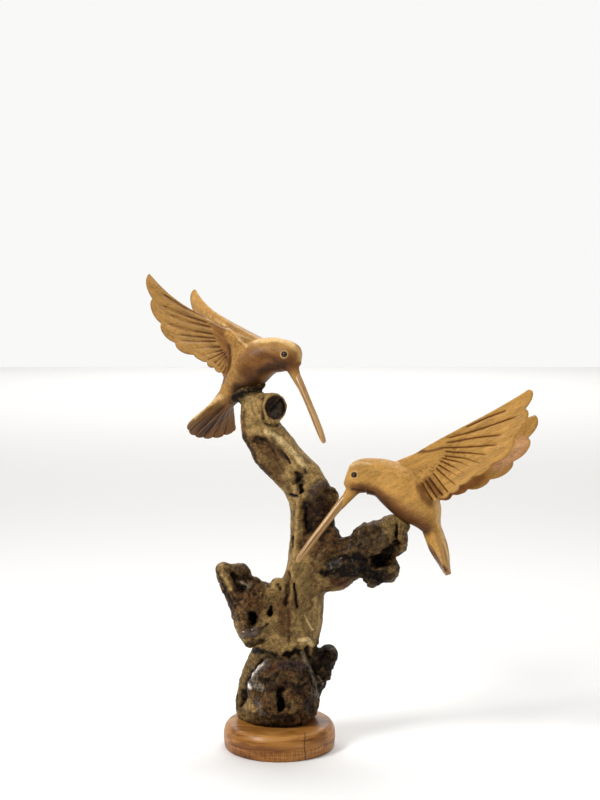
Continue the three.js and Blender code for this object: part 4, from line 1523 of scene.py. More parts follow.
# %% Strokes on the recess
ROOT_STROKES += [
    # painted shade in the pits, the hole and the slit under it
    ("small pit", "dark", 2.6, 1.8, [(305, 470), (306, 473)]),
    ("rot hollow", "dark", 5.5, 3, [(298, 475), (301, 480)]),
    ("pit beside it", "dark", 3, 1.4, [(293, 483), (299, 480)]),
    ("rot hole", "black", 2.6, 4.5, [(301, 486), (301.5, 492)]),
    ("grey lip of the hole", "grey", 1.2, -0.8, [(297, 487), (296, 492)]),
    ("slit under the hole", "black", 2, 2, [(290, 495), (297, 496)]),
    ("dark burl on the stem", "purple-grey", 7.5, -0.8, [(312, 492), (318, 487), (324, 485)]),
    ("top of the dark burl", "tan", 1.6, -0.8, [(305, 487), (310, 482), (318, 478)]),
    ("red nub", "dark", 6, 0, [(330, 492), (335, 491)]),
    ("right of the recess", "dark", 9, 0.5, [(320, 500), (325, 512), (318, 527)]),
    # painted shade in the long recess
    ("long recess", "dark", 6.5, 3.2, [(307, 505), (308, 520), (309, 530)]),
    ("foot of the recess", "brown", 6, 1.5, [(307, 534), (303, 546)]),
    ("mottled wood right of the bill", "brown", 9, 0, [(314, 552), (324, 545), (334, 540)]),
    # painted shade in the slits
    ("slits in the recess", "black", 1.4, 1.6, [(306, 508), (305.5, 520), (306, 528)]),
    ("top of the recess", "dark", 3, 1, [(312, 505), (316, 512)]),
    ("pale rib", "tan", 2.6, -1.4, [(299, 500), (298, 515), (297, 530), (295, 545), (293, 560)]),
    # painted shade in the slit
    ("slit at the left edge", "black", 1.8, 2, [(292.5, 537), (292.5, 547)]),
]

# %% [markdown]
# The branch goes off to the right. It is nearly black below, where its own dark wood also gets painted
# shade, umber above, and ends in knobs round a deep hollow, with a short peg that stands up. The gap by
# the peg, the deep hollow, the creases and the hole are darkened with painted shade.

# %% Strokes on the branch
ROOT_STROKES += [
    ("dark corner of the branch", "dark", 3, 0, [(320, 540), (326, 532)]),
    ("branch's mottled root", "brown", 7, 0, [(333, 535), (337, 550)]),
    ("dark spot", "black", 3, 0.8, [(329, 532)]),
    ("trunk under the bill", "olive", 7, 0, [(300, 563), (302, 576), (305, 590)]),
    ("trunk beside the hole", "brown", 5, 0, [(314, 566), (313, 580)]),
    ("top of the branch", "umber", 10, 0, [(345, 545), (360, 543), (378, 545)]),
    ("branch's olive knob", "umber", 7, 0, [(366, 530), (374, 528), (380, 533)]),
    ("yellow patch by the peg", "olive", 5, -0.4, [(386, 524), (391, 533)]),
    # painted shade in the gap beside the peg
    ("gap beside the peg", "black", 1.6, 3, [(396.5, 525), (396.5, 541)]),
    ("peg", "olive", 3.5, 0, [(401, 527), (402, 537)]),
    ("branch's end lobe", "red-brown", 4.5, 0, [(403, 545), (405, 540)]),
    # painted shade in the deep hollow
    ("deep hollow", "black", 5.5, 7, [(397, 545), (390, 551), (384, 558), (375, 563)]),
    ("knob under the hollow", "dark", 8, 0, [(391, 570), (388, 576)]),
    ("its worn top", "olive", 3.5, 0, [(393, 568), (390, 571)]),
    # painted shade in the crease
    ("crease over that knob", "black", 1.5, 1, [(380, 566), (388, 564)]),
    ("lowest knob", "black", 7, 0, [(372, 580), (380, 580)]),
    # painted shade in the crease, and on the underside over its own dark wood
    ("crease along the branch", "black", 5, 1.8, [(330, 565), (345, 558), (362, 557), (380, 560)]),
    ("branch's underside", "black", 10, 0, [(332, 571), (350, 570), (365, 571), (378, 577)]),
    ("branch's reddish belly", "red-brown", 6, 0, [(333, 583), (345, 583)]),
    ("branch's lower edge", "brown", 3.5, 0, [(322, 588), (330, 591)]),
    # painted shade in the hole
    ("branch hole", "black", 4, 3.2, [(322, 572), (325, 574)]),
    ("rim by the hole", "grey", 1, -0.4, [(330, 563), (331, 568)]),
    ("branch's tan upper edge", "brown", 4.5, 0, [(330, 548), (345, 543)]),
]

# %% [markdown]
# The left burl has two horns with a cleft between them, and two rotten holes in its face. The cleft, the
# holes and the undersides are painted black as shade, and a grey spot between the horns is a painted
# highlight.

# %% Strokes on the left burl
ROOT_STROKES += [
    ("first horn's pale stripe", "tan", 3, 0, [(219, 567), (225, 578), (230, 588)]),
    ("first horn's left edge", "black", 2.5, 0, [(216, 567), (221, 580), (226, 592), (232, 606)]),
    # painted shade in the cleft and under it
    ("cleft between the horns", "black", 3.6, 3, [(233, 573), (236, 583), (243, 588)]),
    ("band under the cleft", "dark", 4, 0, [(236, 590), (246, 592)]),
    # painted highlight between the horns
    ("grey highlight spot", "grey", 1.5, -1, [(243, 583), (249, 587)]),
    ("second horn", "dark", 5, -0.4, [(238, 568), (243, 576)]),
    ("bump between the horns", "dark", 5, 0, [(255, 582)]),
    ("golden knob", "tan", 6, 0, [(272, 590), (278, 582)]),
    ("dent in the golden knob", "dark", 2.4, 1.8, [(279, 584), (280, 589)]),
    ("burl's face", "brown", 8, 0, [(245, 600), (258, 605)]),
    ("shade round the burl's hollow", "dark", 7, 0, [(252, 614), (254, 620), (251, 628)]),
    # painted shade in the hollow and the knot hole
    ("burl's hollow", "black", 3.5, 3.6, [(253, 615), (254, 622)]),
    ("knot hole", "black", 2.8, 4, [(271, 607), (270, 613)]),
    ("pad under the hollow", "purple-grey", 5, -1, [(243, 635), (252, 634), (259, 630)]),
    # painted shade on the underside and under its lip
    ("burl's underside", "black", 4, 0, [(246, 645), (256, 644), (262, 640)]),
    ("lip under the burl", "black", 2.6, 2, [(252, 650), (265, 652), (276, 655)]),
    ("tan seam", "tan", 1.6, 0, [(258, 646), (268, 645)]),
    ("check in the burl", "dark", 1.2, 1, [(262, 628), (268, 624)]),
    ("burl's right face", "brown", 6, 0, [(280, 600), (283, 615), (282, 632)]),
]

# %% [markdown]
# The trunk is smooth and tan, with a few slits, and ends above the foot in a cleft. The slits, the cleft and
# the hollow under the knuckle are darkened with painted shade.

# %% Strokes on the trunk
ROOT_STROKES += [
    ("crevice beside the burl", "brown", 3, 2.2, [(288, 573), (288, 590), (286, 604)]),
    # painted shade in the slit
    ("slit in the trunk", "black", 1.8, 2.5, [(294, 584), (296, 597), (297, 607)]),
    ("reddish streak", "red-brown", 2, 0, [(289, 612), (289, 640)]),
    ("scratch", "pale", 1, 0.3, [(305.5, 616), (309, 624), (313, 630)]),
    ("trunk's right side", "tan", 4.5, 0, [(316, 600), (318, 625)]),
    ("trunk's foot", "tan", 4.5, -0.6, [(285, 650), (296, 643), (305, 640)]),
    # painted shade in the cleft under the trunk
    ("cleft under the trunk", "black", 4.5, 4, [(287, 655), (296, 651), (301, 652)]),
    ("knuckle", "pale", 2.6, -0.8, [(300, 640), (308, 640), (312, 645)]),
    # painted shade in the hollow under the knuckle
    ("hollow under the knuckle", "black", 2.4, 2, [(307, 648), (309, 652)]),
    ("strand down the foot", "grey", 2.4, -1.2, [(302, 653), (306, 662), (311, 672), (315, 685), (317, 697)]),
    # painted shade in the slit
    ("slit beside the strand", "black", 2, 2.4, [(306, 650), (310, 658)]),
]

# %% [markdown]
# The foot is a dark round bulb with one upright slot. Its shoulder carries thick, waxy varnish with a painted
# highlight on it, and a black spur stands behind it on the right. The crease round the bulb, the hole, the
# slot, the crack and the bottom edge are darkened with painted shade.

# %% Strokes on the foot
ROOT_STROKES += [
    # painted shade in the crease round the bulb
    ("crease round the bulb", "black", 2, 2.5, [(262, 660), (252, 672), (246, 684), (245, 697), (241, 706)]),
    ("bulb's rim", "purple-grey", 2.5, -1.4, [(265, 663), (256, 672), (249, 681), (248, 690)]),
    ("strip left of the bulb", "olive", 3.5, 0, [(250, 660), (244, 675), (240, 690), (239, 705)]),
    # painted shade in the hole
    ("hole in the strip", "black", 1.8, 2.4, [(243.5, 690), (242, 700)]),
    ("foot's left edge", "dark", 1.2, 0, [(237, 690), (237, 710)]),
    ("band above the bulb", "dark", 3, 0.6, [(265, 657), (280, 658)]),
    ("bulb's cap", "purple-grey", 6, 0, [(280, 665), (295, 664), (302, 668)]),
    ("reddish part of the cap", "red-brown", 5, 0, [(268, 670), (275, 667)]),
    ("black patch", "black", 3.5, 0.5, [(262, 680), (272, 680), (276, 674)]),
    ("grey patch", "grey", 4, 0, [(254, 685), (262, 688)]),
    # painted highlight on the bulb's shoulder and on the spot under it
    ("bulb's waxed shoulder", "painted highlight", 2.2, -0.6, [(263, 664), (257.5, 669), (252, 676)]),
    ("waxed spot under it", "painted highlight", 1.6, -0.4, [(249, 683), (250, 688)]),
    ("brown side of the bulb", "brown", 7, 0, [(255, 698), (265, 700), (258, 705)]),
    ("golden spots", "tan", 3.5, 0, [(249, 702), (254, 709), (246, 707)]),
    # painted shade in the slot
    ("slot in the bulb", "black", 4.2, 4.2, [(281, 690), (280, 700), (281, 708)]),
    ("mottled side", "brown", 8, 0, [(290, 695), (300, 700)]),
    ("umber band over it", "dark", 4.5, 0, [(272, 688), (288, 684), (300, 690), (308, 702)]),
    ("worn patch beside the slot", "olive", 3.5, 0, [(290, 702), (294, 709)]),
    ("shade under the slot", "dark", 5, 0, [(274, 717), (292, 719)]),
    # painted shade in the crack and along the bottom edge
    ("hooked crack", "black", 1.6, 1.2, [(299, 688), (305, 684)]),
    ("foot's bottom edge", "black", 3, 0, [(262, 724), (280, 727), (300, 725)]),
    ("bulb's right side", "dark", 5, 0, [(310, 700), (313, 712)]),
    ("spur's black flank", "black", 8, 0, [(324, 654), (332, 655), (327, 672), (323, 690)]),
    ("spur's middle", "dark", 4, 0, [(320, 652), (326, 661), (324, 672)]),
    ("worn arc on the spur", "grey", 1.2, 0, [(318, 676), (323, 684)]),
]

# %% [markdown]
# The shoot's sawn end is dark, and greyed by weather. It has faint rings and two drying checks, and its rim
# is tan like the stem.

# %% The sawn face
# The steps below are radii on the shoot, and places along it, in mm
from_shoot = root_points - SHOOT_PLACE
out_of_shoot = from_shoot @ SHOOT_AXIS
from_axis = np.linalg.norm(from_shoot - out_of_shoot[:, None] * SHOOT_AXIS, axis=1)
sawn = (1 - step(from_axis, 9.2, 10.2)) * (out_of_shoot > -1.5)
rim = step(from_axis, 9.6, 10.6) * (1 - step(from_axis, 13, 14)) * step(out_of_shoot, -3, 1)
weathered = step(noise(root_points, 8, 26) - 0.1 * out_of_shoot, -0.2, 0.5)
rings = step(np.sin(from_axis * 2.2 + 3 * noise(root_points, 6, 16)), 0.1, 0.9)
lay(paint, "tan", rim)
lay(paint, "dark", sawn)
lay(paint, "grey", sawn * weathered * 0.3)
lay(paint, "grey", sawn * rings * 0.1)
SAWN_STROKES = [
    ("upright check in the sawn face", "black", 1.8, 1.2, [(281, 400), (284, 405), (285, 411)]),
    ("second check", "black", 1.5, 1.0, [(280, 400), (276, 404), (272, 410)]),
]

# %% Work the strokes into the root
ROOT_STROKE_THICK = 9
strokes = ROOT_STROKES + SAWN_STROKES
carved_points = worked(
    root_tree, carved_points, root_normals, paint, strokes, ROOT_STROKE_THICK, wander=2, gaps=0.35
)
print("worked", len(strokes), "strokes")

# %% [markdown]
# The varnish isn't even. In a few places it lies so thick that it shines as if it were wet, as on the bulb at
# the foot. Those places are strokes too, with a half width and the pixels that they run through.

# %% Where the varnish lies thick
GLOSSY = [
    ("bulb's shoulder", 5, [(266, 665), (256, 672), (249, 684)]),
    ("bulb's side", 4, [(256, 700), (262, 712)]),
    ("middle of the branch", 4, [(330, 566), (340, 562)]),
    ("pad on the burl", 4, [(244, 634), (254, 632)]),
    ("grey highlight spot between the horns", 3, [(243, 583), (249, 587)]),
]
root_pixels, root_ahead = seen(root_points)
gloss = np.zeros(len(root_points))
for _, half_width, stops in GLOSSY:
    touch = touched(root_tree, root_pixels, root_ahead, stops, half_width, ROOT_STROKE_THICK)
    gloss = np.maximum(gloss, touch)
put_attribute(root_mesh, "gloss", gloss)
print("points under thick varnish:", int((gloss > 0.5).sum()))

# %% [markdown]
# The back isn't seen in the photograph. It gets random pits and knobs of the same kind, fewer and plainer.
# They are drawn out along the fibre, as rot and healed twigs are.

# %% The unseen back
BACK_MARKS = 20
BACK_DEPTHS = [2.4, 1.4, -1.8]
chance = np.random.default_rng(23)
behind = np.flatnonzero((root_normals[:, 1] > 0.45) & (root_points[:, 2] > 32) & (root_points[:, 2] < 285))
for spot in chance.choice(behind, BACK_MARKS, replace=False):
    off = root_points - root_points[spot]
    along = off @ fibre[spot]
    across = np.linalg.norm(off - along[:, None] * fibre[spot], axis=1)
    radius = np.hypot(along / chance.uniform(1.3, 3.5), across) / chance.uniform(2, 4.5)
    radius += 0.45 * noise(root_points, 4, 17) + 0.25 * noise(root_points, 2, 18)
    depth = chance.choice(BACK_DEPTHS)
    carved_points -= (depth * (1 - step(radius, 0.2, 1.1)))[:, None] * root_normals[spot]
    # the pits are darkened with painted shade, and the knobs get a brown tone
    lay(paint, "dark" if depth > 0 else "brown", 0.75 * (1 - step(radius, 0.3, 1.1)))
print(BACK_MARKS, "pits and knobs on the back")

# %% [markdown]
# The root stands on the disc, and was cut flat to do so. No point of its carving may sink into the disc.

# %% A flat foot
FOOT_LEVEL = 20.3
ROOT_SANDING = 0.35
carved_points[:, 2] = np.maximum(carved_points[:, 2], FOOT_LEVEL)
carved_points = relaxed(carved_points, root_pairs, 1, ROOT_SANDING)
put_points(root_mesh, carved_points)
print("lowest point of the root:", round(float(carved_points[:, 2].min()), 1), "mm")

# %% [markdown]
# The material darkens the hollows with painted shade, and lightens the ridges with a painted highlight. Both
# follow from one measure: how far a point lies below the mean of the skin round it. It is kept on the mesh
# next to the paint.

# %% Hollows, fibres and paint on the mesh
ROOT_HOLLOW_SMOOTHING = 24
hollow = hollow_at(root_mesh, carved_points, root_pairs, ROOT_HOLLOW_SMOOTHING)
put_attribute(root_mesh, "hollow", hollow)
put_attribute(root_mesh, "paint", paint)
put_attribute(root_mesh, "fibre", fibre_fine)
put_attribute(root_mesh, "rough", rough)
root_mesh.shade_smooth()
print("root has", triangle_count(root_mesh), "triangles")

# %% [markdown]
# ## The turned disc
# The base was turned on a lathe: a flat underside, a straight band, a line scratched with the tool's point,
# and a rounded shoulder. A turned piece is a profile spun round an axis. Geometry Nodes do that with a grid:
# one direction of the grid goes round the axis, and the other follows the profile.

# %% The turner's profile
# Each row is a share of the way from the underside's middle to the top's, then a radius and a height, as
# shares of the disc's own.
DISC_PROFILE = (
    (0.0, 0.0, 0.0), (0.12, 0.955, 0.0), (0.16, 0.978, 0.03), (0.2, 0.986, 0.1), (0.42, 0.999, 0.41),
    (0.44, 0.992, 0.432), (0.46, 0.999, 0.455), (0.6, 0.993, 0.64), (0.72, 0.97, 0.82),
    (0.82, 0.935, 0.94), (0.88, 0.895, 0.995), (0.91, 0.86, 1.0), (1.0, 0.0, 1.0),
)
DISC_RADIUS, DISC_HEIGHT = 45.7, 20
DISC_COLUMNS, DISC_ROWS = 721, 110
SEAM_GAP = 0.02


# %% Disc node tree
def disc_tree(material):
    """A grid wound round the axis: its X is the way round, and its Y follows the profile."""
    tree, given, identifiers = tree_with_inputs("turned_disc", {"Radius": "Float", "Height": "Float"})
    sizes = {"Size X": 1.0, "Size Y": 1.0, "Vertices X": DISC_COLUMNS, "Vertices Y": DISC_ROWS}
    grid = add_node(tree, "GeometryNodeMeshGrid", inputs=sizes)
    share = add_node(tree, "ShaderNodeSeparateXYZ", inputs={0: grid.outputs["UV Map"]})
    sized = []
    for column, name in enumerate(("Radius", "Height"), 1):
        shape = add_node(tree, "ShaderNodeFloatCurve", inputs={"Value": share.outputs["Y"]})
        outline = shape.mapping.curves[0]
        outline.points[0].location = (0, DISC_PROFILE[0][column])
        outline.points[1].location = (1, DISC_PROFILE[-1][column])
        for row in DISC_PROFILE[1:-1]:
            outline.points.new(row[0], row[column])
        for point in outline.points:
            point.handle_type = "VECTOR"
        shape.mapping.update()
        factors = {0: shape.outputs["Value"], 1: given[name]}
        sized.append(add_node(tree, "ShaderNodeMath", {"operation": "MULTIPLY"}, factors).outputs[0])
    radius, height = sized
    once_round = {0: share.outputs["X"], 1: 2 * math.pi}
    angle = add_node(tree, "ShaderNodeMath", {"operation": "MULTIPLY"}, once_round)
    place = {2: height}
    for axis, turn in enumerate(("COSINE", "SINE")):
        part = add_node(tree, "ShaderNodeMath", {"operation": turn}, {0: angle.outputs[0]})
        factors = {0: part.outputs[0], 1: radius}
        place[axis] = add_node(tree, "ShaderNodeMath", {"operation": "MULTIPLY"}, factors).outputs[0]
    spun = add_node(tree, "ShaderNodeCombineXYZ", inputs=place)
    moves = {"Geometry": grid.outputs["Mesh"], "Position": spun.outputs["Vector"]}
    moved = add_node(tree, "GeometryNodeSetPosition", inputs=moves)
    merges = {"Geometry": moved.outputs["Geometry"], "Distance": SEAM_GAP * MM}
    closed = add_node(tree, "GeometryNodeMergeByDistance", inputs=merges)
    end_tree(tree, closed.outputs["Geometry"], material)
    return tree, identifiers


# %% [markdown]
# The disc's front has one drying crack, which runs up the side and wanders a little. Its place is read from
# the photograph, and the rim's own points are pressed in along it.

# %% Make the disc, with its crack
CRACK_PIXEL = (305, 745)
CRACK_HALF_WIDTH, CRACK_DEPTH = 0.6, 0.7
FRONT_LIMIT = -30
disc_wood = bpy.data.materials.new("turned_hardwood_varnished")
disc_sizes = {"Radius": DISC_RADIUS * MM, "Height": DISC_HEIGHT * MM}
disc = grown("base_disc_turned", *disc_tree(disc_wood), disc_sizes)
disc_mesh = disc.data
disc_points = points_of(disc_mesh)
crack_ray = ray_through(*CRACK_PIXEL)
crack_x = (CAMERA_PLACE + crack_ray * (-CAMERA_PLACE[1] - DISC_RADIUS) / crack_ray[1])[0]
crack_line = crack_x + 0.5 * np.sin(disc_points[:, 2] / 2.3) + 0.5 * noise(disc_points * (0, 0, 1), 4, 20)
from_crack = np.abs(disc_points[:, 0] - crack_line)
crack = np.clip(1 - from_crack / CRACK_HALF_WIDTH, 0, 1) * (disc_points[:, 1] < FRONT_LIMIT)
from_middle = np.hypot(disc_points[:, 0], disc_points[:, 1])[:, None]
disc_out = disc_points * (1, 1, 0) / np.maximum(from_middle, 1)
put_points(disc_mesh, disc_points - CRACK_DEPTH * crack[:, None] * disc_out)
# the crack, which the material darkens with painted shade
put_attribute(disc_mesh, "cut", crack)
disc_mesh.shade_smooth()
print("disc has", len(disc_mesh.polygons), "faces; crack at x =", round(float(crack_x), 1), "mm")

# %% [markdown]
# ## Finishes
# All the wood is varnished, so each material is a rough brown body under a clear coat. The tones come from
# the paint on the mesh. A material adds what is finer than the mesh, and three small functions do what all of
# them need: read what the mesh carries, give a ramp its colours, and lay one stain over another.


# %% Attributes, ramps and stains
def carried(tree, outputs):
    """What the mesh carries at each point, from pairs of an attribute's name and the kind of output."""
    return [
        add_node(tree, "ShaderNodeAttribute", {"attribute_name": name}).outputs[output]
        for name, output in outputs
    ]


def colour_ramp(ramp, stops):
    """Give a ramp its colours, from pairs of a place from 0 to 1 and a hex value."""
    for element, (place, tone) in zip(ramp.elements, stops):
        element.position = place
        element.color = colour(tone)
    for place, tone in stops[2:]:
        ramp.elements.new(place).color = colour(tone)


def stained(tree, base, mask, low, high, strength, tone, blend="MULTIPLY"):
    """A stain over a base. It starts where the mask is low, and has its full strength where that is high."""
    limits = {"From Min": low, "From Max": high, "To Min": 0.0, "To Max": strength}
    share = add_node(tree, "ShaderNodeMapRange", inputs={"Value": mask, **limits})
    kinds = {"data_type": "RGBA", "blend_type": blend}
    layers = {0: share.outputs[0], 6: base, 7: colour(tone)}
    return add_node(tree, "ShaderNodeMix", kinds, layers).outputs[2]


# %% [markdown]
# The birds are a fine, pale hardwood with short dark pores, cut and sanded. Growth layers show as soft bands.
# A pore is about 0.3 mm wide and a few millimetres long, so it is noise squeezed along the grain, drawn a
# little coarser so that it shows. The grain runs along the wing, in the bird's own frame. The varnish on the
# birds is thin, so they have a satin look with hardly a highlight.


# %% Carved hardwood
def carved_hardwood():
    """Fine hardwood, cut and sanded, with varnish. Growth layers show as soft bands, pores as dashes, and
    cuts and hollows get painted shade.
    """
    material = bpy.data.materials.new("fine_hardwood_carved")
    tree, shader = nodes_of(material)
    paint, grain, cut, hollow = carried(
        tree, (("paint", "Color"), ("grain", "Vector"), ("cut", "Fac"), ("hollow", "Fac"))
    )
    squeezed = add_node(tree, "ShaderNodeMapping", inputs={"Vector": grain, "Scale": (0.03, 0.16, 0.3)})
    growth = {"Scale": 1.6, "Detail": 5, "Roughness": 0.62, "Distortion": 0.35}
    bands = add_node(tree, "ShaderNodeTexNoise", inputs={"Vector": squeezed.outputs[0], **growth})
    swing = {"From Min": 0.3, "From Max": 0.7, "To Min": 0.72, "To Max": 1.25}
    band_light = add_node(tree, "ShaderNodeMapRange", inputs={"Value": bands.outputs["Fac"], **swing})
    lit = {0: paint, "Scale": band_light.outputs[0]}
    banded = add_node(tree, "ShaderNodeVectorMath", {"operation": "SCALE"}, lit).outputs[0]
    dashes = add_node(tree, "ShaderNodeMapping", inputs={"Vector": grain, "Scale": (0.3, 1.9, 1.9)})
    fine = {"Vector": dashes.outputs[0], "Scale": 1.0, "Detail": 4, "Roughness": 0.6}
    pores = add_node(tree, "ShaderNodeTexNoise", inputs=fine).outputs["Fac"]
    pored = stained(tree, banded, pores, 0.5, 0.68, 0.6, "#9A6A38")
    # painted shade at the bottom of the cuts and in the hollows
    shade_in_cuts = stained(tree, pored, cut, 0.15, 0.7, 0.92, "#A68B62")
    shade_in_hollows = stained(tree, shade_in_cuts, hollow, 0.05, 0.4, 0.8, "#BC9C70")
    bump = add_node(tree, "ShaderNodeBump", inputs={"Height": pores, "Strength": 0.25, "Distance": 0.0006})
    finish = {
        "Base Color": shade_in_hollows,
        "Normal": bump.outputs["Normal"],
        "Specular IOR Level": 0.11,
        "Roughness": 0.45,
        "Coat Weight": 0.07,
        "Coat Roughness": 0.3,
    }
    fill_inputs(tree, shader, finish)
    return material


bird_wood = carved_hardwood()
for carved, slot in ((lower_carved, "lower_bird"), (upper_carved, "upper_bird")):
    carved.data.materials.append(bird_wood)
    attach(carved, "root")
    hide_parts(slot)
print("birds finished in", bird_wood.name)

# %% [markdown]
# The bills are split from straight-grained wood, a little redder than the birds, and hold more varnish. Thin
# streaks run along each sliver, and the knife line is darkened with painted shade.


# %% Bill wood
def fill_bill_wood(material):
    """Straight-grained hardwood: thin streaks along the sliver, and painted shade in a knife line down each
    side.
    """
    tree, shader = nodes_of(material)
    grain, cut = carried(tree, (("grain", "Vector"), ("cut", "Fac")))
    squeezed = add_node(tree, "ShaderNodeMapping", inputs={"Vector": grain, "Scale": (0.03, 0.9, 0.9)})
    thin = {"Vector": squeezed.outputs[0], "Scale": 1.3, "Detail": 4, "Roughness": 0.6}
    lines = add_node(tree, "ShaderNodeTexNoise", inputs=thin)
    tones = add_node(tree, "ShaderNodeValToRGB", inputs={0: lines.outputs["Fac"]})
    colour_ramp(tones.color_ramp, ((0.35, "#8C602D"), (0.62, "#BC9355")))
    # painted shade in the knife line
    knife_line_shaded = stained(tree, tones.outputs["Color"], cut, 0.0, 1.0, 1.0, "#7C4E2A")
    finish = {"Base Color": knife_line_shaded, "Roughness": 0.4, "Coat Weight": 0.35, "Coat Roughness": 0.2}
    fill_inputs(tree, shader, finish)


fill_bill_wood(bill_wood)
for bird, bill in ((lower_bird, lower_bill), (upper_bird, upper_bill)):
    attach(bill, "root")
    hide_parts(bird["name"] + "_bill")
print("bills finished in", bill_wood.name)

# %% [markdown]
# The eyes are glass beads, nearly black, with a faint brown cloud inside. The glass is smooth, so each one
# gives a single sharp highlight.

# %% Eye beads
bead_tree, bead_shader = nodes_of(bead_glass)
bead_place = add_node(bead_tree, "ShaderNodeTexCoord").outputs["Object"]
bead_cloud = add_node(bead_tree, "ShaderNodeTexNoise", inputs={"Vector": bead_place, "Scale": 900})
bead_tone = add_node(bead_tree, "ShaderNodeValToRGB", inputs={0: bead_cloud.outputs["Fac"]})
colour_ramp(bead_tone.color_ramp, ((0.0, "#0B0705"), (1.0, "#2A1810")))
fill_inputs(bead_tree, bead_shader, {"Base Color": bead_tone.outputs["Color"], "Roughness": 0.08})
for eye in eyes:
    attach(eye, "root")
print("eyes finished in", bead_glass.name)

# %% [markdown]
# The root is stained and weathered wood under varnish. The material adds fibres, small blotches and specks
# to the paint. It darkens the hollows with painted shade, and lightens the ridges with a painted highlight.
# Most of the root is dull, and the coat is full only where the varnish lies thick.


# %% Rootwood
def varnished_root():
    """Stained, weathered root under varnish: fibres and specks, painted shade in the hollows, a painted
    highlight on the ridges, an uneven sheen.
    """
    material = bpy.data.materials.new("rootwood_varnished")
    tree, shader = nodes_of(material)
    paint, fibres, hollow, roughness, thick_varnish = carried(
        tree, (("paint", "Color"), ("fibre", "Fac"), ("hollow", "Fac"), ("rough", "Fac"), ("gloss", "Fac"))
    )
    place = add_node(tree, "ShaderNodeTexCoord").outputs["Object"]
    coarse = {"Vector": place, "Scale": 260, "Detail": 6, "Roughness": 0.7, "Distortion": 0.5}
    fine = {"Vector": place, "Scale": 1100, "Detail": 3, "Roughness": 0.7}
    blotch = add_node(tree, "ShaderNodeTexNoise", inputs=coarse).outputs["Fac"]
    speck = add_node(tree, "ShaderNodeTexNoise", inputs=fine).outputs["Fac"]

    # Fibres and blotches lighten and darken the paint, most of all where the wood is rough
    uneven = add_node(tree, "ShaderNodeMath", {"operation": "MULTIPLY_ADD"}, {0: fibres, 1: 0.4, 2: blotch})
    swing = add_node(tree, "ShaderNodeMapRange", inputs={"Value": roughness, "To Min": 0.4, "To Max": 0.78})
    darkest = add_node(tree, "ShaderNodeMath", {"operation": "SUBTRACT"}, {0: 1.0, 1: swing.outputs[0]})
    lightest = add_node(tree, "ShaderNodeMath", {"operation": "ADD"}, {0: 1.0, 1: swing.outputs[0]})
    light = add_node(
        tree,
        "ShaderNodeMapRange",
        inputs={
            "Value": uneven.outputs[0],
            "From Min": 0.32,
            "From Max": 0.7,
            "To Min": darkest.outputs[0],
            "To Max": lightest.outputs[0],
        },
    )
    lit = {0: paint, "Scale": light.outputs[0]}
    mottled = add_node(tree, "ShaderNodeVectorMath", {"operation": "SCALE"}, lit).outputs[0]
    warmed = stained(tree, mottled, speck, 0.5, 0.75, 0.25, "#8A5A30")
    # painted shade in the hollows, and a painted highlight on the ridges
    hollows_shaded = stained(tree, warmed, hollow, 0.1, 0.9, 0.9, "#3C2616")
    worn = stained(tree, hollows_shaded, hollow, -0.3, -1.0, 0.1, "#A27E4C", "MIX")
    sheen = {"Value": thick_varnish, "To Min": 0.05, "To Max": 1.0}
    coat = add_node(tree, "ShaderNodeMapRange", inputs=sheen)
    bump = add_node(tree, "ShaderNodeBump", inputs={"Height": blotch, "Strength": 0.4, "Distance": 0.0012})
    finish = {
        "Base Color": worn,
        "Normal": bump.outputs["Normal"],
        "Specular IOR Level": 0.06,
        "Roughness": 0.5,
        "Coat Weight": coat.outputs[0],
        "Coat Roughness": 0.18,
    }
    fill_inputs(tree, shader, finish)
    return material


root_mesh.materials.clear()
root_mesh.materials.append(varnished_root())
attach(rootwood, "root")
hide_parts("rootwood")
print("root finished in", root_mesh.materials[0].name)

# %% [markdown]
# The disc is a warmer turned hardwood. Long soft streaks cross it from side to side. On the lower band, where
# the tool met the fibres' ends, there are fine upright lines. The crack is darkened with painted shade.


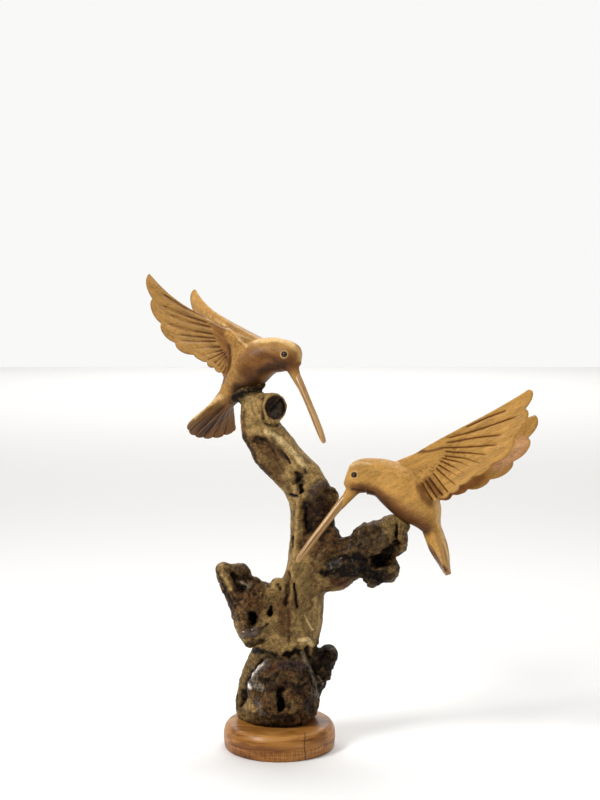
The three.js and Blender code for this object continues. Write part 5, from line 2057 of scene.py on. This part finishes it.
# %% Disc wood
def fill_disc_wood(material):
    """Turned hardwood: long soft streaks across the disc, and fine upright lines on the lower band."""
    tree, shader = nodes_of(material)
    (cut,) = carried(tree, (("cut", "Fac"),))
    place = add_node(tree, "ShaderNodeTexCoord").outputs["Object"]
    flat_grain = add_node(tree, "ShaderNodeMapping", inputs={"Vector": place, "Scale": (18, 60, 220)})
    long_grain = {"Scale": 1.0, "Detail": 5, "Roughness": 0.6, "Distortion": 0.6}
    streak = add_node(tree, "ShaderNodeTexNoise", inputs={"Vector": flat_grain.outputs[0], **long_grain})
    tones = add_node(tree, "ShaderNodeValToRGB", inputs={0: streak.outputs["Fac"]})
    colour_ramp(tones.color_ramp, ((0.36, "#74441B"), (0.66, "#BA8344"), (0.5, "#9E682D")))

    # The upright lines fade out above the band
    upright = add_node(tree, "ShaderNodeMapping", inputs={"Vector": place, "Scale": (900, 900, 40)})
    end_grain = {"Vector": upright.outputs[0], "Scale": 1.0, "Detail": 3, "Roughness": 0.6}
    fine = add_node(tree, "ShaderNodeTexNoise", inputs=end_grain)
    height = add_node(tree, "ShaderNodeSeparateXYZ", inputs={0: place}).outputs["Z"]
    band = add_node(
        tree,
        "ShaderNodeMapRange",
        {"interpolation_type": "SMOOTHSTEP"},
        {"Value": height, "From Min": 0.0094, "From Max": 0.0082, "To Max": 0.55},
    )
    limits = {"Value": fine.outputs["Fac"], "From Min": 0.45, "From Max": 0.62}
    fine_dark = add_node(tree, "ShaderNodeMapRange", inputs=limits)
    factors = {0: band.outputs[0], 1: fine_dark.outputs[0]}
    lined = add_node(tree, "ShaderNodeMath", {"operation": "MULTIPLY"}, factors).outputs[0]
    lower = stained(tree, tones.outputs["Color"], lined, 0.0, 1.0, 1.0, "#A8642F")
    finish = {
        # painted shade in the crack
        "Base Color": stained(tree, lower, cut, 0.0, 1.0, 1.0, "#3A200F", "MIX"),
        "Roughness": 0.4,
        "Specular IOR Level": 0.2,
        "Coat Weight": 0.15,
        "Coat Roughness": 0.2,
    }
    fill_inputs(tree, shader, finish)


fill_disc_wood(disc_wood)
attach(disc, "root")
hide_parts("base_disc")
print("disc finished in", disc_wood.name)
